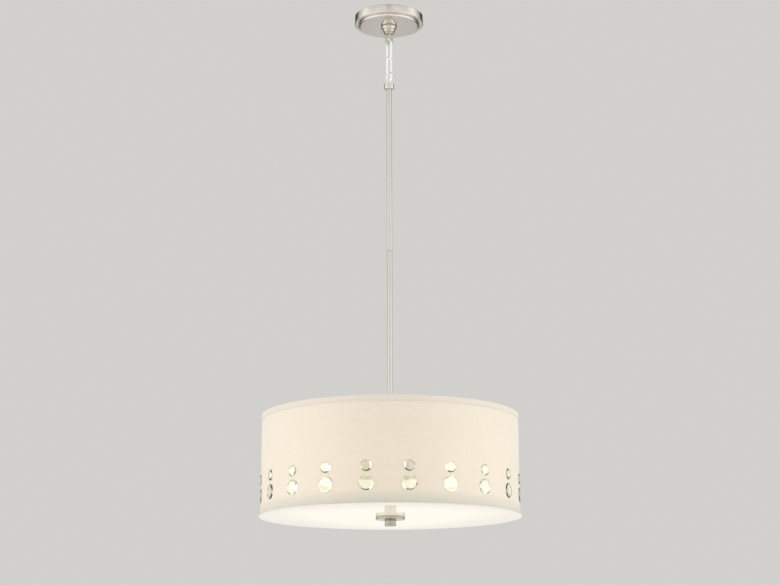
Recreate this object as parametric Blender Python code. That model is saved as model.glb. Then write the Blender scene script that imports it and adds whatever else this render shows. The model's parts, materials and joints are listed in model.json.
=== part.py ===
"""A drum pendant light: ceiling canopy, two chain links, down rod, linen drum shade with glass
crystals, three bulbs on a hub, and an acrylic diffuser held up by a finial.

Metres, +Z up. The origin is on the light's axis, in the plane of the ceiling. The front is -Y.
Run it with: blender --background --python part.py
"""
import bmesh
import bpy
from math import cos, pi, radians, sin, sqrt, tau
from mathutils import Matrix, Vector

# Clearances that every joint between two pieces uses
GAP = 0.0003                    # between two pieces that touch on the real light
OVERRUN = 0.001                 # how far a cutter runs past the face that it cuts
JOIN = 0.0004                   # how far a piece of one solid reaches into the next
WELD = GAP / 100                # points closer than this are one point

# Ceiling strap and its screws
STRAP_LENGTH = 0.096
STRAP_WIDTH = 0.020
STRAP_THICK = 0.0024
BOX_SCREW_SPACING = 0.0699
SLOT_LENGTH = 0.012
BOX_SCREW_RADIUS = 0.0021
BOX_SCREW_ABOVE = 0.012         # how far the screws stand up into the ceiling box
SCREW_HEAD_RADIUS = 0.004
SCREW_HEAD_THICK = 0.0022
GROUND_SCREW_PLACE = 0.020
GROUND_SCREW_RADIUS = 0.0017
GROUND_SCREW_ABOVE = 0.003

# Hollow threaded tube, and the hexagon nuts that fit it
NIPPLE_RADIUS = 0.0049
NIPPLE_BORE_RADIUS = 0.0033
NIPPLE_ABOVE = 0.010            # how far it stands up into the ceiling box
NIPPLE_GRIP = 0.011             # how far it goes into the canopy loop
NUT_ACROSS_FLATS = 0.014
NUT_THICK = 0.005

# Canopy: a turned dish with a flange, a step and a flat face
CANOPY_RADIUS = 0.0652
CANOPY_SHEET = 0.0012
CANOPY_FLANGE_HEIGHT = 0.0144
CANOPY_FLANGE_ROUND = 0.0030
CANOPY_STEP_RADIUS = 0.0566
CANOPY_FACE_RADIUS = 0.0526
CANOPY_HEIGHT = 0.0184
CANOPY_HOLE_CLEARANCE = 0.0012  # around a chain link, so that the canopy slides down the chain

# Chain: the eyes of the two loops, and two equal links
LOOP_WIRE = 0.0046
LOOP_INNER_WIDTH = 0.0084
CANOPY_EYE_HEIGHT = 0.0210
STEM_EYE_HEIGHT = 0.0227
LINK_WIRE = 0.0044
LINK_INNER_WIDTH = 0.0088
LINK_LENGTH = 0.0405
CANOPY_EYE_TWIST = radians(35)  # the planes of the eyes and links, each counted from the XZ plane
LINK_1_TWIST = radians(125)
LINK_2_TWIST = radians(55)
STEM_EYE_TWIST = radians(130)

# Canopy loop: a threaded barrel with a shoulder over the eye
BARREL_MARGIN = 0.0002          # barrel's radius past the widest point of the eye
BARREL_ABOVE_FLOOR = 0.0052
BARREL_BELOW_NUT = 0.0010
CANOPY_SHOULDER_MARGIN = 0.0002 # barrel's radius past the shoulder
CANOPY_SHOULDER_HEIGHT = 0.0033
STEM_SHOULDER_RADIUS = 0.0075
NECK_RADIUS = 0.0032

# Ring nut that holds the canopy up
RING_HEIGHT = 0.0110
RING_WALL = 0.0021
RING_FLANGE_THICK = 0.0056
RING_FLANGE_WIDTH = 0.0051
RING_ROUND = 0.0007

# Down rod and its collar
ROD_RADIUS = 0.00475
ROD_WALL = 0.0010
ROD_LENGTH = 0.3200             # of each of the two lengths
JOINER_LENGTH = 0.024
JOINER_WALL = 0.00085
STEM_SHOULDER_HEIGHT = 0.0029
STUB_LENGTH = 0.0046
COLLAR_RADIUS = 0.0094
COLLAR_HEIGHT = 0.0102
COLLAR_ROUND = 0.0008
COUPLING_LENGTH = 0.0133
COUPLING_GRIP = 0.0075
COUPLING_WALL = 0.00195

# Drum shade
SHADE_RADIUS = 0.2286
SHADE_HEIGHT = 0.1778
FABRIC_THICK = 0.0008
LINER_THICK = 0.0006
HEM_THICK = 0.0005
TOP_HEM_HEIGHT = 0.010
BOTTOM_HEM_HEIGHT = 0.014
RING_WIRE = 0.0032
RING_INSET = 0.0020             # from the rim of the shade to its wire ring
SPIDER_DROP = 0.0194            # from the rim down to the face that the spider hangs from
SPIDER_THICK = 0.0020
SPIDER_CENTRE_RADIUS = 0.0125
SPIDER_FLAT = 0.024             # straight part of each arm, beside the ring

# Crystals: pairs of one large and one small, all round the shade
PAIRS = 20
FIRST_PAIR = radians(8)         # from the front, toward +X
LARGE_RADIUS = 0.0130
LARGE_HEIGHT = 0.0325           # of the centre above the shade's lower rim
SMALL_RADIUS = 0.0095
SMALL_HEIGHT = 0.0605
CRYSTAL_PROUD = 0.0024
CRYSTAL_BACK = 0.0035           # how far it stands out inside the liner
STRIP_THICK = 0.0006            # clear strip inside the liner that carries one row of crystals
STRIP_WIDTH = 0.004

# Hub, its cover and the threaded rod under it
SPACER_LENGTH = 0.0526
SPACER_WALL = 0.0015
HUB_RADIUS = 0.023
HUB_SHEET = 0.0015
HUB_TOP_THICK = 0.0020
HUB_HEIGHT = 0.044
COVER_THICK = 0.006
CENTRE_ROD_RADIUS = 0.0030
CENTRE_NUT_ACROSS_FLATS = 0.010
ROD_ABOVE_NUT = 0.001

# Lampholders and bulbs, which lie flat and point outward
LAMPS = 3
FIRST_LAMP = radians(90)        # the one at the back, counted from +X
SOCKET_RADIUS = 0.017
SOCKET_LENGTH = 0.041
SOCKET_CAVITY_DEPTH = 0.027
SOCKET_ROUND = 0.0015
LINER_SHEET = 0.0004
LINER_SHORT = 0.0020            # how far the metal thread stops inside the mouth
BUSH_GRIP = 0.0100
BUSH_HEAD_RADIUS = 0.0072
BUSH_HEAD_THICK = 0.0025
CONTACT_RADIUS = 0.0060
CONTACT_THICK = 0.0010
CONTACT_PIP_RADIUS = 0.0025
CONTACT_PIP_HEIGHT = 0.0012
CAP_RADIUS = 0.0131
CAP_LENGTH = 0.0260
CAP_SHEET = 0.0010
CAP_TIP_RADIUS = 0.0045
BULB_RADIUS = 0.030
BULB_LENGTH = 0.110
GLASS_THICK = 0.0008
GLASS_IN_CAP = 0.015

# Wiring
LEAD_RADIUS = 0.0009
LEAD_SPACING = 0.0016           # between the middles of a lead's two cores
BLOCK_RADIUS = 0.010
BLOCK_HEIGHT = 0.012
LEAD_HOLE_RADIUS = 0.0025

# Diffuser and finial
DIFFUSER_THICK = 0.0018
DIFFUSER_OVERHANG = 0.0033      # past the shade's fabric
DIFFUSER_ROUND = 0.0006
DIFFUSER_RISE = 0.0015          # how far the finial pulls the middle up
FINIAL_RADIUS = 0.026
FINIAL_THICK = 0.0052
FINIAL_ROUND = 0.0008
KNOB_RADIUS = 0.0099
KNOB_HEIGHT = 0.0112
KNOB_ROUND = 0.0009
KNOB_FLOOR = 0.0030             # metal left under the knob's blind hole

# Step counts, and the angle past which an edge is drawn sharp
SHADE_STEPS = 2 * PAIRS         # a flat for each pair of crystals, and one between
CANOPY_STEPS = 40
FINIAL_STEPS = 28
BARREL_STEPS = 20
SMALL_STEPS = 14
TINY_STEPS = 10
LARGE_CRYSTAL_STEPS = 12
SMALL_CRYSTAL_STEPS = 10
LINER_HOLE_STEPS = 8
CROWN_STEPS = 3                 # from a bulb's widest point to its tip
BOW_SHARES = (0.25, 0.5, 0.75)  # rings of the bowed diffuser, as shares of its radius
WIRE_SIDES = 8
RING_SIDES = 5
ARM_SIDES = 6
ARC_STEPS = 10                  # steps round each end of an eye or a link
CORNER_POINTS = 3               # points along a rounded corner
NUT_SIDES = 6
SHARP_ANGLE = radians(35)

# Heights down the axis, each worked out from the piece above it
CANOPY_FACE_Z = -CANOPY_HEIGHT
RING_TOP_Z = CANOPY_FACE_Z - GAP
RING_BOTTOM_Z = RING_TOP_Z - RING_HEIGHT
BARREL_TOP_Z = CANOPY_FACE_Z + CANOPY_SHEET + BARREL_ABOVE_FLOOR
BARREL_BOTTOM_Z = RING_BOTTOM_Z - BARREL_BELOW_NUT
CANOPY_EYE_Z = BARREL_BOTTOM_Z - CANOPY_SHOULDER_HEIGHT
SWING_1_Z = CANOPY_EYE_Z - CANOPY_EYE_HEIGHT + LOOP_WIRE / 2
LINK_1_Z = SWING_1_Z + LOOP_WIRE / 2 + GAP + LINK_WIRE
SWING_2_Z = LINK_1_Z - LINK_LENGTH + LINK_WIRE / 2
LINK_2_Z = SWING_2_Z + LINK_WIRE / 2 + GAP + LINK_WIRE
SWING_3_Z = LINK_2_Z - LINK_LENGTH + LINK_WIRE / 2
STEM_EYE_Z = SWING_3_Z + LINK_WIRE / 2 + GAP + LOOP_WIRE
STEM_SHOULDER_Z = STEM_EYE_Z - STEM_EYE_HEIGHT
COLLAR_TOP_Z = STEM_SHOULDER_Z - STEM_SHOULDER_HEIGHT - GAP
COLLAR_BOTTOM_Z = COLLAR_TOP_Z - COLLAR_HEIGHT
ROD_TOP_Z = COLLAR_TOP_Z - STUB_LENGTH - GAP
ROD_MIDDLE_Z = ROD_TOP_Z - ROD_LENGTH
ROD_LOWER_Z = ROD_MIDDLE_Z - GAP
ROD_BOTTOM_Z = ROD_LOWER_Z - ROD_LENGTH
COUPLING_TOP_Z = ROD_BOTTOM_Z + COUPLING_GRIP
COUPLING_BOTTOM_Z = COUPLING_TOP_Z - COUPLING_LENGTH
SPIDER_SEAT_Z = COUPLING_BOTTOM_Z - GAP
SHADE_TOP_Z = SPIDER_SEAT_Z + SPIDER_DROP
SHADE_BOTTOM_Z = SHADE_TOP_Z - SHADE_HEIGHT
LOCK_NUT_TOP_Z = SPIDER_SEAT_Z - SPIDER_THICK - GAP
SPACER_TOP_Z = LOCK_NUT_TOP_Z - NUT_THICK - GAP
SPACER_BOTTOM_Z = SPACER_TOP_Z - SPACER_LENGTH
HUB_TOP_Z = SPACER_BOTTOM_Z - GAP
HUB_BOTTOM_Z = HUB_TOP_Z - HUB_HEIGHT
LAMP_Z = HUB_TOP_Z - HUB_HEIGHT / 2
HUB_NUT_TOP_Z = HUB_TOP_Z - HUB_TOP_THICK - GAP
CLUSTER_NIPPLE_BOTTOM_Z = HUB_NUT_TOP_Z - NUT_THICK - BARREL_BELOW_NUT
CENTRE_NUT_BOTTOM_Z = HUB_BOTTOM_Z + COVER_THICK + GAP
CENTRE_ROD_TOP_Z = CENTRE_NUT_BOTTOM_Z + NUT_THICK + ROD_ABOVE_NUT
DIFFUSER_TOP_Z = SHADE_BOTTOM_Z - GAP
FINIAL_TOP_Z = DIFFUSER_TOP_Z + DIFFUSER_RISE - DIFFUSER_THICK - GAP
KNOB_TOP_Z = FINIAL_TOP_Z - FINIAL_THICK - GAP
KNOB_BOTTOM_Z = KNOB_TOP_Z - KNOB_HEIGHT
CENTRE_ROD_BOTTOM_Z = KNOB_BOTTOM_Z + KNOB_FLOOR + GAP

# Radii that follow from a fit
EYE_HALF_WIDTH = LOOP_INNER_WIDTH / 2 + LOOP_WIRE
BARREL_RADIUS = EYE_HALF_WIDTH + BARREL_MARGIN
CANOPY_SHOULDER_RADIUS = BARREL_RADIUS - CANOPY_SHOULDER_MARGIN
RING_BORE_RADIUS = BARREL_RADIUS + GAP
CANOPY_HOLE_RADIUS = LINK_INNER_WIDTH / 2 + LINK_WIRE + CANOPY_HOLE_CLEARANCE
NIPPLE_HOLE_RADIUS = NIPPLE_RADIUS + GAP
ROD_HOLE_RADIUS = max(ROD_RADIUS, NIPPLE_RADIUS) + GAP
ROD_BORE_RADIUS = ROD_RADIUS - ROD_WALL
JOINER_RADIUS = ROD_BORE_RADIUS - GAP
CENTRE_HOLE_RADIUS = CENTRE_ROD_RADIUS + GAP
LINER_RADIUS = SHADE_RADIUS - FABRIC_THICK - GAP
LINER_INNER_RADIUS = LINER_RADIUS - LINER_THICK
FLAT_SHARE = cos(pi / SHADE_STEPS)      # how far a flat is from the axis, as a share of the radius
WIRE_RING_RADIUS = (LINER_INNER_RADIUS - GAP) - RING_WIRE / 2
SOCKET_BACK = HUB_RADIUS + GAP
SOCKET_MOUTH = SOCKET_BACK + SOCKET_LENGTH
SOCKET_FLOOR = SOCKET_MOUTH - SOCKET_CAVITY_DEPTH
CAVITY_RADIUS = CAP_RADIUS + GAP + LINER_SHEET + GAP
CONTACT_BACK = SOCKET_FLOOR + GAP
CAP_TIP = CONTACT_BACK + CONTACT_THICK + CONTACT_PIP_HEIGHT + GAP
CAP_MOUTH = CAP_TIP + CAP_LENGTH
GLASS_NECK = CAP_MOUTH - GLASS_IN_CAP
NECK_GLASS_RADIUS = CAP_RADIUS - CAP_SHEET - GAP
BULB_TIP = CAP_TIP + BULB_LENGTH
BULB_CENTRE = BULB_TIP - BULB_RADIUS
BUSH_END = SOCKET_BACK + BUSH_GRIP
HUB_INNER_RADIUS = HUB_RADIUS - HUB_SHEET
HUB_WALL_AT_HEAD = sqrt(HUB_INNER_RADIUS ** 2 - BUSH_HEAD_RADIUS ** 2)
BUSH_HEAD_FACE = HUB_WALL_AT_HEAD * cos(pi / BARREL_STEPS) - GAP

# Directions
UP = Vector((0, 0, 1))
LAMP_ANGLES = [FIRST_LAMP + tau * lamp / LAMPS for lamp in range(LAMPS)]
HUB_TURN = pi / BARREL_STEPS
FACET = tau / SHADE_STEPS
SHADE_TURN = FIRST_PAIR - pi / 2 + FACET / 2    # puts a flat of the drum behind each crystal


# Finishes

def finish(name, colour, metallic=0.0, roughness=0.5, transmission=0.0):
    """A Principled material. colour is linear red, green and blue."""
    material = bpy.data.materials.new(name)
    material.use_nodes = True
    shader = material.node_tree.nodes["Principled BSDF"]
    shader.inputs["Base Color"].default_value = (*colour, 1)
    shader.inputs["Metallic"].default_value = metallic
    shader.inputs["Roughness"].default_value = roughness
    shader.inputs["Transmission Weight"].default_value = transmission
    material.diffuse_color = (*colour, 1)
    return material


def make_finishes():
    """Every finish of the light, by name."""
    return {
        "nickel": finish("brushed_nickel", (0.60, 0.56, 0.50), metallic=1.0, roughness=0.32),
        "steel": finish("zinc_plated_steel", (0.52, 0.52, 0.50), metallic=1.0, roughness=0.42),
        "brass": finish("brass", (0.70, 0.50, 0.22), metallic=1.0, roughness=0.35),
        "green": finish("green_screw", (0.04, 0.28, 0.08), metallic=0.6, roughness=0.4),
        "linen": finish("linen", (0.80, 0.70, 0.58), roughness=0.9),
        "styrene": finish("white_styrene", (0.85, 0.84, 0.80), roughness=0.45),
        "crystal": finish("clear_glass", (0.95, 0.97, 0.95), roughness=0.02, transmission=1.0),
        "acrylic": finish("white_acrylic", (0.93, 0.91, 0.86), roughness=0.08),
        "ceramic": finish("white_ceramic", (0.78, 0.77, 0.73), roughness=0.35),
        "frosted": finish("frosted_glass", (0.95, 0.90, 0.80), roughness=0.4, transmission=0.6),
        "plastic": finish("clear_gold_insulation", (0.55, 0.42, 0.20), roughness=0.3),
    }


# Shapes

def turned(outline, steps, turn=0.0, place=None):
    """A solid turned about its Z axis from (radius, height) points. An outline that starts and ends
    on the axis is left open there."""
    mesh = bmesh.new()
    points = [mesh.verts.new((radius, 0, height)) for radius, height in outline]
    edges = [mesh.edges.new(pair) for pair in zip(points, points[1:])]
    if outline[0][0] > 0 or outline[-1][0] > 0:
        edges.append(mesh.edges.new((points[-1], points[0])))
    bmesh.ops.spin(mesh, geom=points + edges, cent=(0, 0, 0), axis=(0, 0, 1), angle=tau, steps=steps,
                   use_merge=True)
    bmesh.ops.remove_doubles(mesh, verts=mesh.verts, dist=WELD)
    bmesh.ops.dissolve_degenerate(mesh, edges=mesh.edges, dist=WELD)
    bmesh.ops.recalc_face_normals(mesh, faces=mesh.faces)
    mesh.transform((place or Matrix()) @ Matrix.Rotation(turn, 4, "Z"))
    return mesh


def tube(outer, inner, top, bottom, steps, turn=0.0, place=None):
    """A plain tube, or a rod where inner is zero."""
    if inner:
        outline = [(outer, top), (outer, bottom), (inner, bottom), (inner, top)]
    else:
        outline = [(0, top), (outer, top), (outer, bottom), (0, bottom)]
    return turned(outline, steps, turn, place)


def rounded(radius, height, size, inward, downward):
    """Points of a rounded corner at (radius, height). inward and downward are 1 or -1, toward the
    metal, and the arc runs from the face at that height to the face at that radius."""
    arc = []
    for step in range(CORNER_POINTS):
        angle = pi / 2 * step / (CORNER_POINTS - 1)
        arc.append((radius + inward * size * (1 - sin(angle)),
                    height + downward * size * (1 - cos(angle))))
    return arc


def swept(path, wire_radius, sides, normal, closed=True):
    """A round wire along the points of a path that lies in one plane."""
    count = len(path)
    mesh = bmesh.new()
    rings = []
    angles = [tau * side / sides for side in range(sides)]
    for index, point in enumerate(path):
        behind = path[index - 1] if closed or index else point
        ahead = path[(index + 1) % count] if closed or index < count - 1 else point
        outside = (ahead - behind).normalized().cross(normal)
        rings.append([mesh.verts.new(point + wire_radius * (normal * cos(a) + outside * sin(a)))
                      for a in angles])
    for index in range(count if closed else count - 1):
        ring, after = rings[index], rings[(index + 1) % count]
        for k in range(sides):
            mesh.faces.new((ring[k], ring[k - 1], after[k - 1], after[k]))
    if not closed:
        mesh.faces.new(rings[0])
        mesh.faces.new(rings[-1])
    bmesh.ops.recalc_face_normals(mesh, faces=mesh.faces)
    return mesh


def block(size, centre):
    """A box with this size, centred on a point."""
    mesh = bmesh.new()
    bmesh.ops.create_cube(mesh, size=1)
    mesh.transform(Matrix.Translation(centre) @ Matrix.Diagonal((*size, 1)))
    return mesh


def hexagon(across_flats, thick, hole, bottom):
    """A hexagon nut with a round hole, its lower face at this height."""
    top = bottom + thick
    nut = tube(across_flats / sqrt(3), 0, top, bottom, NUT_SIDES)
    cutter = tube(hole, 0, top + OVERRUN, bottom - OVERRUN, SMALL_STEPS)
    return combined(nut, cutter, "DIFFERENCE")


def nipple_nut(top):
    """A nut for the threaded tube, its upper face at this height."""
    return hexagon(NUT_ACROSS_FLATS, NUT_THICK, NIPPLE_HOLE_RADIUS, top - NUT_THICK)


def outward(angle, height, distance=0.0):
    """The frame whose Z axis points outward at this angle from +X, on the axis at this height."""
    turn = Matrix.Rotation(angle, 4, "Z") @ Matrix.Rotation(pi / 2, 4, "Y")
    return Matrix.Translation((0, 0, height)) @ turn @ Matrix.Translation((0, 0, distance))


def as_object(mesh):
    """A bmesh as a plain object in the scene."""
    data = bpy.data.meshes.new("shape")
    mesh.to_mesh(data)
    mesh.free()
    item = bpy.data.objects.new("shape", data)
    bpy.context.scene.collection.objects.link(item)
    return item


def combined(first, second, operation="UNION"):
    """Two shapes joined, or the second cut out of the first, as one new shape."""
    body, tool = as_object(first), as_object(second)
    boolean = body.modifiers.new("combine", "BOOLEAN")
    boolean.operation = operation
    boolean.object = tool
    result = bmesh.new()
    result.from_mesh(body.evaluated_get(bpy.context.evaluated_depsgraph_get()).to_mesh())
    for item in (body, tool):
        data = item.data
        bpy.data.objects.remove(item)
        bpy.data.meshes.remove(data)
    bmesh.ops.remove_doubles(result, verts=result.verts, dist=WELD)
    bmesh.ops.dissolve_degenerate(result, edges=result.edges, dist=WELD)
    return result


def together(meshes):
    """Several shapes that stay separate solids in one mesh."""
    whole = bmesh.new()
    for mesh in meshes:
        data = bpy.data.meshes.new("shape")
        mesh.to_mesh(data)
        mesh.free()
        whole.from_mesh(data)
        bpy.data.meshes.remove(data)
    return whole


# Placing

PLACES = {}


def carrier(name, place, parent=None):
    """An empty on a joint's axis, which carries the pieces that move there."""
    empty = bpy.data.objects.new(name, None)
    PLACES[name] = Vector(place)
    empty.location = PLACES[name] - (PLACES[parent] if parent else Vector())
    empty.parent = bpy.data.objects[parent] if parent else None
    bpy.context.scene.collection.objects.link(empty)
    return name


def add(name, mesh, material, on):
    """Name a finished shape as a piece of the light, on its carrier."""
    mesh.transform(Matrix.Translation(-PLACES[on]))
    data = bpy.data.meshes.new(name)
    mesh.to_mesh(data)
    mesh.free()
    data.shade_smooth()
    data.set_sharp_from_angle(angle=SHARP_ANGLE)
    data.materials.append(material)
    piece = bpy.data.objects.new(name, data)
    piece.parent = bpy.data.objects[on]
    bpy.context.scene.collection.objects.link(piece)
    return piece


# Ceiling fixing

def ceiling_strap():
    """The slotted strap, its upper face in the plane of the ceiling."""
    middle = -STRAP_THICK / 2
    below = -STRAP_THICK - OVERRUN
    strap = block((STRAP_LENGTH, STRAP_WIDTH, STRAP_THICK), (0, 0, middle))
    slot = (SLOT_LENGTH, 2 * (BOX_SCREW_RADIUS + GAP), STRAP_THICK + 2 * OVERRUN)
    cuts = [block(slot, (side * BOX_SCREW_SPACING / 2, 0, middle)) for side in (-1, 1)]
    cuts.append(tube(NIPPLE_HOLE_RADIUS, 0, OVERRUN, below, SMALL_STEPS))
    earth = Matrix.Translation((-GROUND_SCREW_PLACE, 0, 0))
    cuts.append(tube(GROUND_SCREW_RADIUS + GAP, 0, OVERRUN, below, TINY_STEPS, place=earth))
    return combined(strap, together(cuts), "DIFFERENCE")


def strap_screw(radius, top, steps, x):
    """A screw that points up through the strap, its head pressed to the strap's lower face."""
    seat = -STRAP_THICK - GAP
    under = seat - SCREW_HEAD_THICK
    outline = [(0, top), (radius, top), (radius, seat), (SCREW_HEAD_RADIUS, seat),
               (SCREW_HEAD_RADIUS, under), (0, under)]
    return turned(outline, steps, place=Matrix.Translation((x, 0, 0)))


def build_ceiling(look):
    """What stays fixed to the ceiling box."""
    root = carrier("ceiling_fixing", (0, 0, 0))
    add("ceiling_crossbar", ceiling_strap(), look["steel"], root)
    for number, side in enumerate((-1, 1), start=1):
        mesh = strap_screw(BOX_SCREW_RADIUS, BOX_SCREW_ABOVE, SMALL_STEPS,
                           side * BOX_SCREW_SPACING / 2)
        add(f"box_screw_{number}", mesh, look["steel"], root)
    earth = strap_screw(GROUND_SCREW_RADIUS, GROUND_SCREW_ABOVE, TINY_STEPS, -GROUND_SCREW_PLACE)
    add("ground_screw", earth, look["green"], root)
    nipple_end = BARREL_TOP_Z - NIPPLE_GRIP
    nipple = tube(NIPPLE_RADIUS, NIPPLE_BORE_RADIUS, NIPPLE_ABOVE, nipple_end, SMALL_STEPS)
    add("threaded_nipple", nipple, look["brass"], root)
    add("nipple_nut", nipple_nut(-STRAP_THICK - GAP), look["steel"], root)
    add("canopy_loop", canopy_loop(), look["nickel"], root)


# Canopy, loops and chain

def ring_path(inner_width, wire, length, top, twist):
    """The centre line of an eye or a link: two half circles joined by straight sides. top is the
    height of its outermost point."""
    radius = (inner_width + wire) / 2
    straight = length - wire - 2 * radius
    upper = top - wire / 2 - radius
    path = []
    for end, height in ((0, upper), (pi, upper - straight)):
        for step in range(ARC_STEPS + 1):
            angle = end + pi * step / ARC_STEPS
            path.append(Vector((radius * cos(angle) * cos(twist), radius * cos(angle) * sin(twist),
                                height + radius * sin(angle))))
    return path


def upright_ring(inner_width, wire, length, top, twist):
    """An eye or a link: a round wire in the upright plane with this twist."""
    path = ring_path(inner_width, wire, length, top, twist)
    return swept(path, wire / 2, WIRE_SIDES, Vector((-sin(twist), cos(twist), 0)))


def canopy_loop():
    """Threaded barrel, shoulder, neck and eye in one piece."""
    bore_end = BARREL_TOP_Z - NIPPLE_GRIP - GAP
    neck_end = CANOPY_EYE_Z - LOOP_WIRE / 2
    outline = [(0, bore_end), (NIPPLE_HOLE_RADIUS, bore_end), (NIPPLE_HOLE_RADIUS, BARREL_TOP_Z),
               (BARREL_RADIUS, BARREL_TOP_Z), (BARREL_RADIUS, BARREL_BOTTOM_Z),
               (CANOPY_SHOULDER_RADIUS, BARREL_BOTTOM_Z), (CANOPY_SHOULDER_RADIUS, CANOPY_EYE_Z),
               (NECK_RADIUS, CANOPY_EYE_Z - JOIN), (NECK_RADIUS, neck_end), (0, neck_end)]
    eye = upright_ring(LOOP_INNER_WIDTH, LOOP_WIRE, CANOPY_EYE_HEIGHT, CANOPY_EYE_Z, CANOPY_EYE_TWIST)
    return combined(turned(outline, BARREL_STEPS), eye)


def stem_loop():
    """Eye, neck, shoulder and a threaded stub with a blind bore for the leads."""
    neck_end = STEM_SHOULDER_Z + LOOP_WIRE / 2
    shoulder_z = STEM_SHOULDER_Z - STEM_SHOULDER_HEIGHT
    stub_end = COLLAR_TOP_Z - STUB_LENGTH
    outline = [(0, neck_end), (NECK_RADIUS, neck_end), (NECK_RADIUS, STEM_SHOULDER_Z + JOIN),
               (STEM_SHOULDER_RADIUS, STEM_SHOULDER_Z), (STEM_SHOULDER_RADIUS, shoulder_z),
               (ROD_RADIUS, shoulder_z), (ROD_RADIUS, stub_end), (LEAD_HOLE_RADIUS, stub_end),
               (LEAD_HOLE_RADIUS, COLLAR_TOP_Z), (0, COLLAR_TOP_Z)]
    eye = upright_ring(LOOP_INNER_WIDTH, LOOP_WIRE, STEM_EYE_HEIGHT, STEM_EYE_Z, STEM_EYE_TWIST)
    return combined(turned(outline, BARREL_STEPS), eye)


def canopy_dish():
    """The dish, open at the top, with a hole that passes the chain."""
    inner = CANOPY_RADIUS - CANOPY_SHEET
    flange_z = -CANOPY_FLANGE_HEIGHT
    flange_floor = flange_z + CANOPY_SHEET
    floor = CANOPY_FACE_Z + CANOPY_SHEET
    step_drop = CANOPY_HEIGHT - CANOPY_FLANGE_HEIGHT
    step_width = CANOPY_STEP_RADIUS - CANOPY_FACE_RADIUS
    curve_shares = (0.5, 1.0)
    outside = [(CANOPY_RADIUS, -GAP)]
    outside += reversed(rounded(CANOPY_RADIUS, flange_z, CANOPY_FLANGE_ROUND, -1, 1))
    outside.append((CANOPY_STEP_RADIUS, flange_z))
    for angle in [pi / 2 * share for share in curve_shares]:
        outside.append((CANOPY_STEP_RADIUS - step_width * (1 - cos(angle)),
                        flange_z - step_drop * sin(angle)))
    outside.append((CANOPY_HOLE_RADIUS, CANOPY_FACE_Z))
    inside = [(CANOPY_HOLE_RADIUS, floor), (CANOPY_FACE_RADIUS - CANOPY_SHEET / 2, floor),
              (CANOPY_STEP_RADIUS - CANOPY_SHEET, flange_floor),
              (inner - CANOPY_FLANGE_ROUND, flange_floor),
              (inner, flange_floor + CANOPY_FLANGE_ROUND), (inner, -GAP)]
    return turned(outside + inside, CANOPY_STEPS)


def ring_nut():
    """The flanged ring nut, with its bore clear of the barrel's thread."""
    body = RING_BORE_RADIUS + RING_WALL
    flange = RING_BORE_RADIUS + RING_FLANGE_WIDTH
    flange_z = RING_TOP_Z - RING_FLANGE_THICK
    outline = [(RING_BORE_RADIUS, RING_TOP_Z), (flange - RING_ROUND, RING_TOP_Z),
               (flange, RING_TOP_Z - RING_ROUND), (flange, flange_z + RING_ROUND),
               (flange - RING_ROUND, flange_z), (body, flange_z),
               (body, RING_BOTTOM_Z + RING_ROUND), (body - RING_ROUND, RING_BOTTOM_Z),
               (RING_BORE_RADIUS, RING_BOTTOM_Z)]
    return turned(outline, BARREL_STEPS)


def chain_link(top, twist):
    """One link of the chain, its top at this height."""
    return upright_ring(LINK_INNER_WIDTH, LINK_WIRE, LINK_LENGTH, top, twist)


def build_chain(look):
    """The canopy with its ring nut, and the two links."""
    slide = carrier("canopy_guide", (0, 0, RING_TOP_Z))
    add("canopy", canopy_dish(), look["nickel"], slide)
    screwed = carrier("ring_nut_thread", (0, 0, RING_BOTTOM_Z), slide)
    add("canopy_ring_nut", ring_nut(), look["nickel"], screwed)
    first = carrier("link_1_pivot", (0, 0, SWING_1_Z))
    add("chain_link_1", chain_link(LINK_1_Z, LINK_1_TWIST), look["nickel"], first)
    second = carrier("link_2_pivot", (0, 0, SWING_2_Z), first)
    add("chain_link_2", chain_link(LINK_2_Z, LINK_2_TWIST), look["nickel"], second)
    return carrier("stem_pivot", (0, 0, SWING_3_Z), second)


# Rod

def rounded_collar():
    """The collar that joins the stem loop to the rod."""
    outline = rounded(COLLAR_RADIUS, COLLAR_TOP_Z, COLLAR_ROUND, -1, -1)
    outline += reversed(rounded(COLLAR_RADIUS, COLLAR_BOTTOM_Z, COLLAR_ROUND, -1, 1))
    outline += [(ROD_HOLE_RADIUS, COLLAR_BOTTOM_Z), (ROD_HOLE_RADIUS, COLLAR_TOP_Z)]
    return turned(outline, BARREL_STEPS)


def build_rod(look, stem):
    """Loop, collar, the two lengths of rod with the stud that joins them, and the coupling."""
    add("stem_loop", stem_loop(), look["nickel"], stem)
    add("stem_collar", rounded_collar(), look["nickel"], stem)
    for name, top, bottom in (("rod_upper", ROD_TOP_Z, ROD_MIDDLE_Z),
                              ("rod_lower", ROD_LOWER_Z, ROD_BOTTOM_Z)):
        add(name, tube(ROD_RADIUS, ROD_BORE_RADIUS, top, bottom, SMALL_STEPS), look["nickel"], stem)
    joiner_top = ROD_MIDDLE_Z + JOINER_LENGTH / 2
    joiner = tube(JOINER_RADIUS, JOINER_RADIUS - JOINER_WALL, joiner_top,
                  joiner_top - JOINER_LENGTH, SMALL_STEPS)
    add("rod_joiner", joiner, look["brass"], stem)
    coupling = tube(ROD_HOLE_RADIUS + COUPLING_WALL, ROD_HOLE_RADIUS, COUPLING_TOP_Z,
                    COUPLING_BOTTOM_Z, BARREL_STEPS)
    add("rod_coupling", coupling, look["nickel"], stem)


# Shade

def drum(outer, thick, top, bottom):
    """A band of the drum, with its flats behind the crystals."""
    return tube(outer, outer - thick, top, bottom, SHADE_STEPS, SHADE_TURN)


def crystal_places(height):
    """The frame of each crystal at this height, its Z axis outward from the fabric's flat."""
    for pair in range(PAIRS):
        angle = FIRST_PAIR - pi / 2 + tau * pair / PAIRS
        yield outward(angle, SHADE_BOTTOM_Z + height, SHADE_RADIUS * FLAT_SHARE)


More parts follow.
